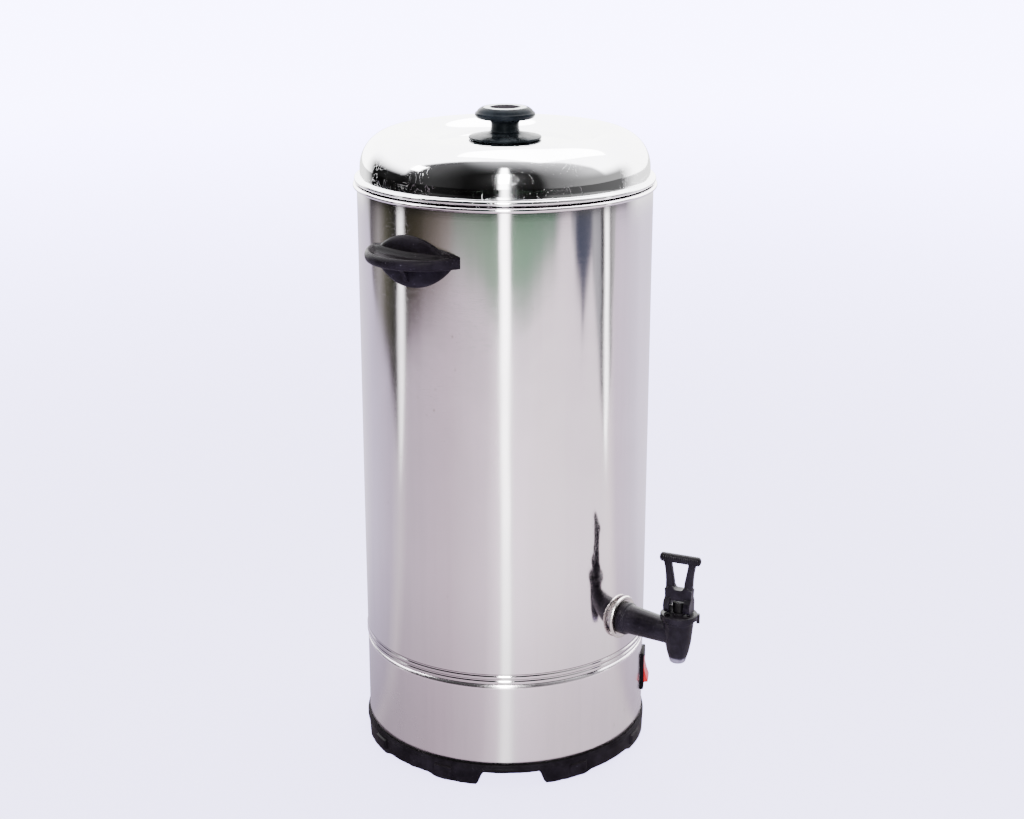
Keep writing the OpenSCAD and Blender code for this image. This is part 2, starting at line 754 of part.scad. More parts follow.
module inlet_nuts() {
    color("goldenrod") at_az(180) for (z = [-20, 20])
        translate([0, -inner_r + 0.2, inlet_z + z]) rotate([-90, 0, 0]) nut(3.2, 1.65, 2.4);
}

// ---- leads, routed through the space under the tank ----

lead_r = 1.4;
inlet_back = body_r - 34;
block_top = skirt_z - shelf_t + 11;

module live_lead() {
    color("sienna") {
        lead([[7, inlet_back, inlet_z + 2], [12, 88, 50], [12, 80, block_top], [12, 67, block_top]], lead_r);
        lead([[12, 53, block_top], [16, 34, 30], [42, -8, 42], [50, -56, 54], [48, -83, switch_z - 9],
              [51.8, -89.7, switch_z - 9]], lead_r);
        lead([[51.8, -89.7, switch_z + 9], [44, -72, 80], [sensor_x, -24, 90],
              [sensor_x, -18.5, floor_z - 7.6]], lead_r);
    }
}

module neutral_lead() {
    color("steelblue") {
        lead([[-8, inlet_back, inlet_z - 6], [-12, 86, 44], [-12, 78, block_top], [-12, 67, block_top]], lead_r);
        lead([[-12, 53, block_top], [-18, 36, 32], [-36, 44, 44], [-32, 66, 62],
              [-leg_x, leg_y, floor_z - 33.5]], lead_r);
    }
}

module earth_lead() {
    color("yellowgreen") {
        lead([[0, inlet_back, inlet_z + 12], [0, 92, 52], [0, 82, block_top], [0, 67, block_top]], lead_r);
        lead([[0, 53, block_top], [0, 20, 36], [0, -30, 60], [0, -stud_x, floor_z - 15.5]], lead_r);
    }
}

module sensor_lead() {
    color("firebrick") {
        lead([[sensor_x, 18.5, floor_z - 7.6], [8, 30, 92], [-8, 30, 92], [-sensor_x, 18.5, floor_z - 7.6]],
             lead_r);
        lead([[-sensor_x, -18.5, floor_z - 7.6], [-30, -34, 98], [-54, -20, 90], [-58, 20, 82],
              [-30, 46, 74], [2, 60, 66], [leg_x, leg_y, floor_z - 33.5]], lead_r);
    }
}

tank_shell();
tank_floor();
skirt();
base_ring();
base_plate();
foot_pads();
base_screws();
base_nuts();
lid_shell();
knob_flange();
knob_grip();
knob_ring();
knob_cap();
knob_screw();
knob_washer();
handle_left();
handle_right();
handle_screws();
handle_seals();
tap_body();
tap_washer();
tap_seal_outer();
tap_seal_inner();
tap_nut();
tap_bonnet();
valve_stem();
seat_cup();
valve_spring();
lever_pin();
tap_lever();
heating_element();
element_fittings();
element_seals();
element_nuts();
thermostat();
boil_dry_cutout();
reset_button();
sensor_bracket();
floor_studs();
stud_nuts();
terminal_block();
terminal_screws();
switch_housing();
switch_rocker();
switch_blades();
inlet_housing();
inlet_pins();
inlet_screws();
inlet_nuts();
live_lead();
neutral_lead();
earth_lead();
sensor_lead();
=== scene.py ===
"""Studio view of an electric hot-water urn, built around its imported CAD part."""

import json
import math

import bpy
from mathutils import Matrix, Vector, noise


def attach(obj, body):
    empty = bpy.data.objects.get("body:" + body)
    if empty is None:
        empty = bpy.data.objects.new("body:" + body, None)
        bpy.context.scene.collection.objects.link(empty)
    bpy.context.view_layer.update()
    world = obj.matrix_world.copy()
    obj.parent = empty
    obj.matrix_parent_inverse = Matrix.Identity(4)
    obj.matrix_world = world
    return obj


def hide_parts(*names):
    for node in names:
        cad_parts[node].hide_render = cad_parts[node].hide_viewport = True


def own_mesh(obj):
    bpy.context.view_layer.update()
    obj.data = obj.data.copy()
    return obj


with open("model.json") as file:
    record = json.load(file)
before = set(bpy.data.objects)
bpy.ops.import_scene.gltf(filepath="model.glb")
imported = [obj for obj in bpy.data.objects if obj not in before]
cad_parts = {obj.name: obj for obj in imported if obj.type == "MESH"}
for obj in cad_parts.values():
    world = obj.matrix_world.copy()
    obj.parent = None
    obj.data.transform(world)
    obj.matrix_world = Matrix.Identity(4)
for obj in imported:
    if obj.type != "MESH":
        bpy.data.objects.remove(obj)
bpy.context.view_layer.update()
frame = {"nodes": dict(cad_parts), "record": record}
nodes = frame["nodes"]

MM = 0.001
TAU = 2 * math.pi

# Sizes in millimetres, as the CAD part has them
BODY_R = 135.0
SHEET = 1.0
RIM_Z = 545.0
SEAM_Z = 104.0
SKIRT_Z = 20.0
TAP_Z = 149.0
TAP_Y = -199.5
TIP_Z = 121.5
LEVER_TURN = 13.5
BASE_TURN = -5.0
SWITCH_AZ = 30.0
SWITCH_Z = 66.0
INLET_Z = 62.0
HANDLE_Z = 493.0

# The camera's place, seen from the urn's axis
CAMERA_AZ = -52.42
CAMERA_FAR = 1.6026
CAMERA_HIGH = 0.8321
CAMERA_SIDE = 0.0063
CAMERA_PITCH = 17.55
CAMERA_ROLL = 0.01
CAMERA_LENS = 62.3


# ---- node helpers ----

class Shader:
    """The nodes of one material or world, each added and linked in one call."""

    def __init__(self, tree):
        self.tree = tree
        tree.nodes.clear()

    def add(self, kind, inputs=None, **settings):
        node = self.tree.nodes.new("ShaderNode" + kind)
        for name, value in settings.items():
            setattr(node, name, value)
        for name, value in (inputs or {}).items():
            if isinstance(value, bpy.types.NodeSocket):
                self.tree.links.new(value, node.inputs[name])
            else:
                node.inputs[name].default_value = value
        return node

    def math(self, operation, a, b=0.0, clamp=False):
        return self.add("Math", {0: a, 1: b}, operation=operation, use_clamp=clamp).outputs[0]

    def plus(self, a, b):
        return self.math("ADD", a, b)

    def minus(self, a, b):
        return self.math("SUBTRACT", a, b)

    def times(self, a, b, clamp=False):
        return self.math("MULTIPLY", a, b, clamp)

    def gap(self, a, b):
        """How far a is from b."""
        return self.math("ABSOLUTE", self.minus(a, b))

    def along(self, vector, direction):
        """How far a vector reaches in a direction."""
        return self.add("VectorMath", {0: vector, 1: direction}, operation="DOT_PRODUCT").outputs["Value"]

    def length(self, vector):
        return self.add("VectorMath", {0: vector}, operation="LENGTH").outputs["Value"]

    def level(self, vector):
        """A vector's height."""
        return self.add("SeparateXYZ", {0: vector}).outputs[2]

    def span(self, value, low, high, to_low=0.0, to_high=1.0):
        """value from low..high mapped to to_low..to_high, eased at both ends."""
        node = self.add("MapRange", {"Value": value, "From Min": low, "From Max": high,
                                     "To Min": to_low, "To Max": to_high}, interpolation_type="SMOOTHSTEP")
        return node.outputs[0]

    def mix(self, factor, a, b, blend="MIX"):
        return self.add("Mix", {0: factor, 6: a, 7: b}, data_type="RGBA", blend_type=blend).outputs[2]

    def ramp(self, value, stops, mode="LINEAR"):
        """Colour at value along stops of (place, grey or colour)."""
        node = self.add("ValToRGB", {0: value})
        node.color_ramp.interpolation = mode
        ramp = node.color_ramp.elements
        while len(ramp) < len(stops):
            ramp.new(1.0)
        for element, (place, colour) in zip(ramp, stops):
            element.position = place
            element.color = rgba(colour)
        return node.outputs[0]

    def point(self):
        """Place on the object, in metres."""
        return self.add("TexCoord").outputs["Object"]

    def place(self, scale=(1, 1, 1)):
        """Place on the object in metres, stretched by scale."""
        return self.add("Mapping", {"Vector": self.point(), "Scale": scale}).outputs[0]

    def noise(self, scale, detail=3.0, rough=0.5, stretch=(1, 1, 1), distort=0.0):
        return self.add("TexNoise", {"Vector": self.place(stretch), "Scale": scale, "Detail": detail,
                                     "Roughness": rough, "Distortion": distort}).outputs[0]

    def cells(self, scale, stretch=(1, 1, 1)):
        """Distance to the nearest of many scattered spots."""
        return self.add("TexVoronoi", {"Vector": self.place(stretch), "Scale": scale}).outputs[0]

    def bump(self, height, strength, distance, normal=None):
        inputs = {"Height": height, "Strength": strength, "Distance": distance}
        if normal:
            inputs["Normal"] = normal
        return self.add("Bump", inputs).outputs[0]


def rgba(colour):
    if isinstance(colour, (int, float)):
        return (colour, colour, colour, 1.0)
    return (*colour, 1.0)


def material(name, **constants):
    """A new material, its shader and its principled node, with constants on the node's own sockets."""
    made = bpy.data.materials.new(name)
    made.use_nodes = True
    shader = Shader(made.node_tree)
    names = {key.replace("_", " "): value for key, value in constants.items()}
    surface = shader.add("BsdfPrincipled", names)
    shader.add("OutputMaterial", {"Surface": surface.outputs[0]})
    return made, shader, surface


def wire(shader, surface, **sockets):
    for key, value in sockets.items():
        shader.tree.links.new(value, surface.inputs[key.replace("_", " ")])


# ---- materials ----

# Creases where shade is painted as dark lines, as (height in mm, breadth in mm)
SHADED_CREASES = ((SEAM_Z + 0.1, 0.9), (SEAM_Z + 5.0, 0.9), (SEAM_Z + 9.8, 1.0), (RIM_Z - 4.6, 0.7))


def painted_crease_shade(s, lines):
    """Painted shade: uneven dark lines along level creases."""
    height = s.level(s.point())
    patchy = s.noise(30.0, 4.0, 0.6)
    total = 0.0
    for middle, breadth in lines:
        off = s.gap(height, middle * MM)
        total = s.math("MAXIMUM", s.span(off, breadth * MM / 2, breadth * MM / 4), total)
    return s.times(total, s.span(patchy, 0.20, 0.50, 0.45, 1.0))


def hairlines(s, scratch, half, patches):
    """Fine scratches in patches, where a noise is within half of its middle."""
    return s.times(s.span(s.gap(scratch, 0.5), half, 0.0), patches)


def sheet_steel(name, haze, tint, gloss):
    """Rolled stainless sheet with grain round the body, wiping haze, fine scratches and waves."""
    made, s, surface = material(name, Metallic=1.0, Anisotropic=0.45, Anisotropic_Rotation=0.25)
    grain = s.noise(90.0, 4.0, 0.6, (0.12, 0.12, 14.0))
    streaks = s.noise(26.0, 3.0, 0.6, (3.0, 3.0, 0.10))
    cloud = s.noise(7.0, 4.0, 0.6, (1.0, 1.0, 0.7), 0.6)
    spots = s.cells(55.0, (1, 1, 0.8))
    marks = s.times(s.span(spots, 0.09, 0.03), s.span(cloud, 0.48, 0.60))
    scratch = s.noise(38.0, 2.0, 0.5, (1.0, 1.0, 5.0), 3.4)
    hair = hairlines(s, scratch, 0.006, s.span(s.noise(9.0, 1.0), 0.52, 0.62))
    colour = s.mix(s.span(cloud, 0.35, 0.70), rgba(tint), rgba([v * 0.93 for v in tint]))
    streaked = s.times(s.span(streaks, 0.42, 0.68), 0.22)
    colour = s.mix(streaked, colour, rgba([v * 0.84 for v in tint]))
    colour = s.mix(s.times(marks, 0.40), colour, rgba((0.40, 0.36, 0.30)))
    # painted shade: dark lines in the bead creases and under the rim bead
    colour = s.mix(painted_crease_shade(s, SHADED_CREASES), colour, rgba((0.05, 0.042, 0.040)))
    rough = s.plus(s.span(cloud, 0.30, 0.72, gloss, gloss + haze),
                   s.times(grain, 0.05))
    rough = s.plus(rough, s.times(hair, 0.22))
    waves = s.noise(11.0, 2.0, 0.5, (1.0, 1.0, 0.32))
    normal = s.bump(waves, 0.5, 0.0009)
    normal = s.bump(s.plus(grain, s.times(hair, -2.0)), 0.06, 0.00006, normal)
    tangent = s.add("Tangent", direction_type="RADIAL", axis="Z").outputs[0]
    wire(s, surface, Base_Color=colour, Roughness=rough, Normal=normal, Tangent=tangent)
    return made


def lid_steel():
    """Bright spun steel with droplet specks, small dings and hairline scratches."""
    made, s, surface = material("lid_bright_steel", Metallic=1.0, Anisotropic=0.25)
    cloud = s.noise(9.0, 4.0, 0.6, (1, 1, 1), 0.5)
    specks = s.cells(330.0)
    dots = s.times(s.span(specks, 0.24, 0.10), s.span(cloud, 0.46, 0.60))
    # painted shade: a near-black band on the lid's lip in the gap between its rolled edge and the tank's rim
    rim_gap_shade = painted_crease_shade(s, ((RIM_Z - 1.2, 3.2),))
    scratch = s.noise(30.0, 2.0, 0.5, (1, 1, 1), 4.0)
    hair = hairlines(s, scratch, 0.005, s.span(s.noise(12.0, 1.0), 0.50, 0.60))
    colour = s.mix(s.span(cloud, 0.30, 0.75), rgba((0.88, 0.88, 0.89)), rgba((0.78, 0.77, 0.79)))
    colour = s.mix(s.times(dots, 0.35), colour, rgba((0.55, 0.54, 0.52)))
    colour = s.mix(rim_gap_shade, colour, rgba((0.015, 0.013, 0.014)))
    rough = s.plus(s.span(cloud, 0.35, 0.75, 0.045, 0.13), s.times(dots, 0.25))
    normal = s.bump(s.noise(14.0, 2.0), 0.5, 0.0012)
    normal = s.bump(s.minus(dots, s.times(hair, 2.0)), 0.25, 0.00008, normal)
    tangent = s.add("Tangent", direction_type="RADIAL", axis="Z").outputs[0]
    wire(s, surface, Base_Color=colour, Roughness=rough, Normal=normal, Tangent=tangent)
    return made


PLASTIC_SHEEN = 0.075


def moulded(name, dark, light, rough, wear_and_highlight=0.5, grit=0.00008, tip=0.0, sheen=PLASTIC_SHEEN):
    """Moulded plastic: fine mould texture, mottled sheen, pale rubbed patches and tiny nicks; the pale edges
    are partly real wear and partly a painted edge highlight.
    """
    made, s, surface = material(name, Specular_IOR_Level=sheen)
    mottle = s.noise(42.0, 5.0, 0.65)
    rubbed = s.noise(95.0, 4.0, 0.7, (1, 1, 1), 0.8)
    edge = s.add("NewGeometry").outputs["Pointiness"]
    # pale edges: partly real wear, partly a painted edge highlight
    worn = s.times(s.span(edge, 0.52, 0.62), s.span(rubbed, 0.40, 0.65))
    nicks = s.span(s.cells(240.0), 0.10, 0.03)
    height = s.level(s.point())
    near_tip = s.span(height, (tip + 7.0) * MM, (tip + 4.0) * MM)
    scuff = s.times(near_tip, s.span(rubbed, 0.34, 0.54, 0.3, 1.0))
    worn = s.math("MAXIMUM", worn, s.times(nicks, s.span(mottle, 0.45, 0.60)))
    worn = s.math("MAXIMUM", s.times(worn, wear_and_highlight, clamp=True), scuff if tip else 0.0)
    colour = s.mix(s.span(mottle, 0.35, 0.70), rgba(dark), rgba(light))
    colour = s.mix(worn, colour, rgba([v * 6.0 + 0.075 for v in light]))
    gloss = s.span(mottle, 0.30, 0.75, rough - 0.07, rough + 0.10)
    gloss = s.plus(gloss, s.times(worn, 0.2))
    fine = s.noise(900.0, 3.0, 0.6)
    normal = s.bump(fine, 0.25, grit)
    normal = s.bump(s.times(nicks, s.span(rubbed, 0.5, 0.62)), -0.4, 0.0001, normal)
    wire(s, surface, Base_Color=colour, Roughness=gloss, Normal=normal)
    return made


def plain_metal(name, colour, rough, stain, fine=700.0):
    """Small turned or plated metal pieces with fine machining marks and a little tarnish."""
    made, s, surface = material(name, Metallic=1.0)
    tarnish = s.noise(60.0, 4.0, 0.65)
    marks = s.noise(fine, 2.0, 0.5, (0.3, 0.3, 2.0))
    shade = s.mix(s.span(tarnish, 0.40, 0.75), rgba(colour), rgba(stain))
    gloss = s.plus(s.span(tarnish, 0.3, 0.8, rough, rough + 0.18), s.times(marks, 0.06))
    wire(s, surface, Base_Color=shade, Roughness=gloss, Normal=s.bump(marks, 0.2, 0.00006))
    return made


def soft_plastic(name, colour, rough, glow=0.0):
    """Pale plastic or silicone that lets a little light in, faintly clouded."""
    made, s, surface = material(name, Subsurface_Weight=glow, Subsurface_Scale=0.004)
    cloud = s.noise(80.0, 4.0, 0.6)
    shade = s.mix(s.span(cloud, 0.35, 0.75), rgba(colour), rgba([v * 0.82 for v in colour]))
    gloss = s.span(cloud, 0.3, 0.8, rough, rough + 0.14)
    wire(s, surface, Base_Color=shade, Roughness=gloss, Normal=s.bump(s.noise(600.0), 0.2, 0.00005))
    return made


def red_lens():
    """The rocker's clear red plastic, in a deeper and a lighter red that vary in clouds."""
    made, s, surface = material("rocker_red", Specular_IOR_Level=0.2, Coat_Weight=0.08, Coat_Roughness=0.08)
    cloud = s.noise(120.0, 3.0, 0.6)
    shade = s.mix(s.span(cloud, 0.35, 0.72), rgba((0.46, 0.006, 0.006)), rgba((0.30, 0.003, 0.003)))
    wire(s, surface, Base_Color=shade, Roughness=s.span(cloud, 0.3, 0.8, 0.18, 0.32),
         Normal=s.bump(s.noise(500.0), 0.12, 0.00005))
    return made


def cap_film():
    """Silver-grey film in the knob's centre with a fine woven emboss and no lettering."""
    made, s, surface = material("cap_film", Specular_IOR_Level=0.0)
    weave = s.add("TexWave", {"Vector": s.place(), "Scale": 420.0, "Distortion": 2.5,
                              "Detail": 2.0}).outputs[1]
    cross = s.add("TexWave", {"Vector": s.place(), "Scale": 300.0, "Distortion": 3.0, "Detail": 2.0},
                  bands_direction="Y").outputs[1]
    pattern = s.times(weave, cross)
    shade = s.mix(s.span(pattern, 0.1, 0.7), rgba((0.014, 0.012, 0.014)), rgba((0.065, 0.060, 0.066)))
    wire(s, surface, Base_Color=shade, Roughness=s.span(pattern, 0.0, 1.0, 0.32, 0.5),
         Normal=s.bump(pattern, 0.4, 0.00012))
    return made


def sheath():
    """The heating element's sheath: heat tints under patches of chalky scale."""
    made, s, surface = material("element_sheath", Specular_IOR_Level=0.5)
    scale = s.noise(70.0, 5.0, 0.7, (1, 1, 1), 0.5)
    tint = s.noise(14.0, 2.0)
    metal = s.mix(s.span(tint, 0.35, 0.7), rgba((0.36, 0.32, 0.30)), rgba((0.20, 0.17, 0.22)))
    chalk = s.span(scale, 0.50, 0.64)
    wire(s, surface, Base_Color=s.mix(chalk, metal, rgba((0.72, 0.68, 0.60))),
         Metallic=s.span(scale, 0.50, 0.60, 0.9, 0.0), Roughness=s.span(scale, 0.45, 0.65, 0.35, 0.85),
         Normal=s.bump(s.times(chalk, scale), 0.6, 0.0006))
    return made


STEEL = sheet_steel("tank_sheet_steel", 0.08, (0.82, 0.775, 0.81), 0.045)
SKIRT_STEEL = sheet_steel("skirt_sheet_steel", 0.12, (0.79, 0.735, 0.78), 0.15)
LID_STEEL = lid_steel()
PLASTIC = moulded("black_plastic", (0.0024, 0.0019, 0.0024), (0.0064, 0.0052, 0.0061), 0.30, 0.45,
                  sheen=0.012)
WORN_PLASTIC = moulded("worn_black_plastic", (0.0030, 0.0023, 0.0028), (0.0080, 0.0065, 0.0076), 0.40, 0.8,
                       0.00018, sheen=0.03)
TAP_PLASTIC = moulded("tap_black_plastic", (0.0038, 0.0030, 0.0040), (0.0100, 0.0082, 0.0104), 0.33, 0.3,
                      tip=TIP_Z)
KNOB_PLASTIC = moulded("knob_slate_plastic", (0.0034, 0.0046, 0.0055), (0.009, 0.0115, 0.0135), 0.27, 0.15,
                       0.00003, sheen=0.02)
RING_WHITE = soft_plastic("knob_ring_white", (0.86, 0.87, 0.92), 0.30)
CAP_FILM = cap_film()
RED = red_lens()
BRIGHT = plain_metal("bright_washer_steel", (0.66, 0.63, 0.60), 0.16, (0.46, 0.43, 0.40))
PLATED = plain_metal("plated_steel", (0.62, 0.62, 0.64), 0.26, (0.46, 0.45, 0.44))
OILED = plain_metal("oiled_steel", (0.030, 0.030, 0.034), 0.38, (0.016, 0.015, 0.014))
INNER = plain_metal("inner_steel", (0.66, 0.655, 0.66), 0.30, (0.52, 0.50, 0.46), 260.0)
BRASS = plain_metal("brass", (0.80, 0.60, 0.28), 0.24, (0.46, 0.32, 0.15))
SHEATH = sheath()
NYLON = soft_plastic("nylon_natural", (0.80, 0.78, 0.70), 0.42)
SILICONE = soft_plastic("silicone_cloudy", (0.76, 0.74, 0.68), 0.55)
BAKELITE = moulded("brown_phenolic", (0.07, 0.035, 0.02), (0.13, 0.07, 0.045), 0.40, 0.2)
PAD_RUBBER = moulded("foot_rubber", (0.018, 0.018, 0.018), (0.035, 0.034, 0.033), 0.72, 0.3, 0.0002)
LEAD_COLOURS = {"lead_brown": (0.20, 0.09, 0.045), "lead_blue": (0.06, 0.16, 0.42),
                "lead_green": (0.26, 0.42, 0.06), "lead_red": (0.42, 0.04, 0.035)}
LEADS = {name: soft_plastic(name, colour, 0.48) for name, colour in LEAD_COLOURS.items()}
SLOT_MATERIALS = {
    "tank_steel": STEEL, "skirt_steel": SKIRT_STEEL, "lid_steel": LID_STEEL, "inner_steel": INNER,
    "plated_steel": PLATED, "bright_washer": BRIGHT, "black_plastic": PLASTIC, "knob_plastic": KNOB_PLASTIC,
    "white_plastic": RING_WHITE, "knob_cap_film": CAP_FILM, "red_plastic": RED, "tap_plastic": TAP_PLASTIC,
    "nylon": NYLON, "bakelite": BAKELITE, "silicone": SILICONE, "foot_rubber": PAD_RUBBER, "brass": BRASS,
    "element_sheath": SHEATH, **LEADS,
}
for part in frame["record"]["subparts"]:
    mesh = nodes[part["node"]].data
    mesh.materials.clear()
    mesh.materials.append(SLOT_MATERIALS[part["material_slot"]])
nodes["valve_stem"].data.materials[0] = OILED


# ---- mesh helpers ----


def placed(name, data):
    """A new object in the scene."""
    made = bpy.data.objects.new(name, data)
    bpy.context.scene.collection.objects.link(made)
    return made


def piece(name, points, faces, look, body, *replaced, crease=32.0):
    """A mesh from points in millimetres that rides on a body and stands for CAD nodes."""
    mesh = bpy.data.meshes.new(name)
    mesh.from_pydata([Vector(p) * MM for p in points], [], faces)
    mesh.validate()
    mesh.materials.append(look)
    mesh.shade_smooth()
    mesh.set_sharp_from_angle(angle=math.radians(crease))
    made = placed(name, mesh)
    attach(made, body)
    if replaced:
        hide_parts(*replaced)
    return made


def fillet(corners, closed=True, steps=5):
    """Outline of corners (x, y) or (x, y, radius), with each radius rounded."""
    out = []
    for i, corner in enumerate(corners):
        radius = corner[2] if len(corner) > 2 else 0.0
        here = Vector(corner[:2])
        if not radius or (not closed and i in (0, len(corners) - 1)):
            out.append(tuple(here))
            continue
        back = Vector(corners[i - 1][:2]) - here
        on = Vector(corners[(i + 1) % len(corners)][:2]) - here
        half = back.angle(on) / 2
        cut = min(radius / math.tan(half), 0.49 * back.length, 0.49 * on.length)
        start, end = here + back.normalized() * cut, here + on.normalized() * cut
        for k in range(steps + 1):
            t = k / steps
            out.append(tuple((1 - t) ** 2 * start + 2 * t * (1 - t) * here + t * t * end))
    return out


def arc(centre, radius, start, end, steps):
    """Points along an arc, angles in degrees."""
    turns = [math.radians(start + (end - start) * k / steps) for k in range(steps + 1)]
    return [(centre[0] + radius * math.cos(a), centre[1] + radius * math.sin(a)) for a in turns]


def turned(profile, steps=128, closed=True):
    """Points and faces of a profile of (radius, height) turned about the Z axis."""
    points, faces, rows = [], [], []
    for radius, height in profile:
        if radius < 1e-6:
            rows.append([len(points)] * steps)
            points.append((0.0, 0.0, height))
            continue
        rows.append(list(range(len(points), len(points) + steps)))
        points += [(radius * math.cos(TAU * k / steps), radius * math.sin(TAU * k / steps), height)
                   for k in range(steps)]
    count = len(rows)
    for i in range(count if closed else count - 1):
        low, high = rows[i], rows[(i + 1) % count]
        for k in range(steps):
            n = (k + 1) % steps
            ring = [low[k], low[n], high[n], high[k]]
            face = [v for j, v in enumerate(ring) if v not in ring[:j]]
            if len(face) > 2:
                faces.append(face)
    return points, faces


def turned_piece(name, profile, steps, look, body, node):
    points, faces = turned(profile, steps)
    return piece(name, points, faces, look, body, node)


def moved(points, matrix):
    return [tuple(matrix @ Vector(p)) for p in points]


def joined(*parts):
    """Several (points, faces) as one."""
    points, faces = [], []
    for more, rings in parts:
        start = len(points)
        points += more
        faces += [[start + v for v in ring] for ring in rings]
    return points, faces


def loft(sections, ends=True):
    """Points and faces of a skin through closed sections of equal count."""
    count = len(sections[0])
    points = [p for section in sections for p in section]
    faces = []
    for s in range(len(sections) - 1):
        for k in range(count):
            n = (k + 1) % count
            faces.append([s * count + k, s * count + n, (s + 1) * count + n, (s + 1) * count + k])
    if ends:
        last = (len(sections) - 1) * count
        faces.append(list(range(count))[::-1])
        faces.append([last + k for k in range(count)])
    return points, faces


def outward(azimuth, radius, height, across=0.0):
    """A point at a distance from the axis along an azimuth, moved across to its side."""
    a = math.radians(azimuth)
    out, side = Vector((math.sin(a), -math.cos(a), 0)), Vector((math.cos(a), math.sin(a), 0))
    return out * radius + side * across + Vector((0, 0, height))


def facing(azimuth, height):
    """Matrix from a frame whose -Y axis points outwards at an azimuth."""
    return Matrix.Translation((0, 0, height)) @ Matrix.Rotation(math.radians(azimuth), 4, "Z")


def from_nearest(angle, places):
    """Degrees from an angle to the nearest of some places round the axis."""
    return min(abs((angle - place + 180) % 360 - 180) for place in places)


def bunched(k, count):
    """From -1 to 1 over k of count, closer together at the ends."""
    return math.sin(math.pi / 2 * (-1 + 2 * k / count))


def wave(x, y, z, size):
    """Slow unevenness of pressed sheet, from -1 to 1."""
    return noise.noise(Vector((x, y, z)) / size)


# ---- tank and skirt ----
WELD_HIGH = 0.22


def sheet_wall(name, levels, look, windows, body, *replaced, ripple=0.0):
    """A thin round wall through levels of (radius, height), open where windows (azimuth, half width,
    low, high) say, given its thickness inwards."""
    angles = {round(k * 1.5, 4) for k in range(240)}
    angles |= {180.0 + off for off in (-0.9, -0.5, -0.2, 0.2, 0.5, 0.9)}
    for azimuth, half, _, _ in windows:
        turn = math.degrees(math.asin(half / BODY_R))
        angles |= {round((azimuth - turn) % 360, 4), round((azimuth + turn) % 360, 4)}
    angles = sorted(angles)
    points = []
    for radius, height in levels:
        for angle in angles:
            p = outward(angle, radius, height)
            swell = ripple * wave(p.x, p.y, height * 0.35, 55.0)
            swell += WELD_HIGH * math.exp(-((angle - 180.0) / 0.35) ** 2)
            points.append(outward(angle, radius + swell, height))
    faces, count = [], len(angles)
    for i in range(len(levels) - 1):
        for k in range(count):
            n = (k + 1) % count
            middle = (angles[k] + ((angles[n] - angles[k]) % 360) / 2) % 360
            height = (levels[i][1] + levels[i + 1][1]) / 2
            if not any(inside_window(w, middle, height) for w in windows):
                faces.append([i * count + k, i * count + n, (i + 1) * count + n, (i + 1) * count + k])
    made = piece(name, points, faces, look, body, *replaced)
    shell = made.modifiers.new("sheet", "SOLIDIFY")
    shell.thickness = SHEET * MM
    shell.offset = -1.0
    shell.use_even_offset = True
    return made


def inside_window(window, angle, height):
    azimuth, half, low, high = window
    return from_nearest(angle, [azimuth]) < math.degrees(math.asin(half / BODY_R)) and low < height < high


def stations(low, high, step):
    count = max(1, round((high - low) / step))
    return [low + (high - low) * k / count for k in range(count + 1)]


def bead(centre, out, half, steps=8):
    """Levels over a rolled bead that stands out from the wall."""
    return [(BODY_R + out * (0.5 + 0.5 * math.cos(math.pi * t)), centre + half * t)
            for t in [-1 + 2 * k / steps for k in range(steps + 1)]]


tank_levels = [(BODY_R, SEAM_Z)]
for centre in (SEAM_Z + 2.6, SEAM_Z + 7.4):
    tank_levels += bead(centre, 0.7, 1.7)
tank_levels += [(BODY_R, z) for z in stations(SEAM_Z + 10.4, RIM_Z - 5.4, 7.0)]
rim = (BODY_R + 1.3, RIM_Z - 2.2)
tank_levels += [(rim[0] + r, rim[1] + z) for r, z in arc((0, 0), 2.15, -128, 180, 14)]
sheet_wall("urn_tank_wall", tank_levels, STEEL, [], "urn", "tank_shell", ripple=0.16)

skirt_levels = [(BODY_R - 0.2, z) for z in sorted(set(
    stations(SKIRT_Z, SWITCH_Z - 16.0, 7.0) + stations(SWITCH_Z - 16.0, SWITCH_Z + 16.0, 6.0)
    + stations(SWITCH_Z + 16.0, SEAM_Z, 6.0) + [INLET_Z - 14.0, INLET_Z + 14.0]))]
sheet_wall("urn_skirt_wall", skirt_levels, SKIRT_STEEL,
           [(SWITCH_AZ, 11.3, SWITCH_Z - 16.0, SWITCH_Z + 16.0),
            (180.0, 10.3, INLET_Z - 14.0, INLET_Z + 14.0)],
           "urn", "skirt", ripple=0.12)

# ---- lid and knob ----

LID_WALL = 132.1
CREST_R = 99.0
CREST_Z = 591.0
SHOULDER_R = 33.1
DISH_R = 62.0
DISH_Z = 580.6
KNOB_Z = 583.0
SLOPE_A = 2 * math.degrees(math.atan((CREST_Z - DISH_Z) / (CREST_R - DISH_R)))
SLOPE_R = (CREST_R - DISH_R) / (2 * math.sin(math.radians(SLOPE_A)))


def lid_profile():
    """The pressed sheet's section: rolled edge, wall, shoulder, dish and the lip inside the tank."""
    def skin(inset):
        out = arc((CREST_R, CREST_Z - SHOULDER_R), SHOULDER_R - inset, 0, 90, 30)
        out += arc((CREST_R, CREST_Z - SLOPE_R), SLOPE_R - inset, 90, 90 + SLOPE_A, 10)[1:]
        out += arc((DISH_R, DISH_Z + SLOPE_R), SLOPE_R + inset, 270 + SLOPE_A, 270, 10)[1:]
        out += [(r, KNOB_Z - inset - 2.4 * (r / DISH_R) ** 2) for r in (52, 42, 32, 22, 12, 5, 0)]
        return out
    edge = (BODY_R - 0.3, RIM_Z + 3.5)
    roll = arc(edge, 2.5, 235, 125, 3)[:1] + arc(edge, 2.5, -125, 118, 16)
    outer = roll + [(LID_WALL + 0.25, RIM_Z + 6.3), (LID_WALL, RIM_Z + 7.6)] + skin(0.0)
    inner = skin(SHEET)[::-1]
    lip = [(LID_WALL - SHEET, RIM_Z + 0.2), (130.4, RIM_Z - 1.0), (130.4, RIM_Z - 9.0), (131.4, RIM_Z - 9.0),
           (131.4, RIM_Z + 0.6), (132.2, RIM_Z + 1.4)]
    return outer + inner + lip


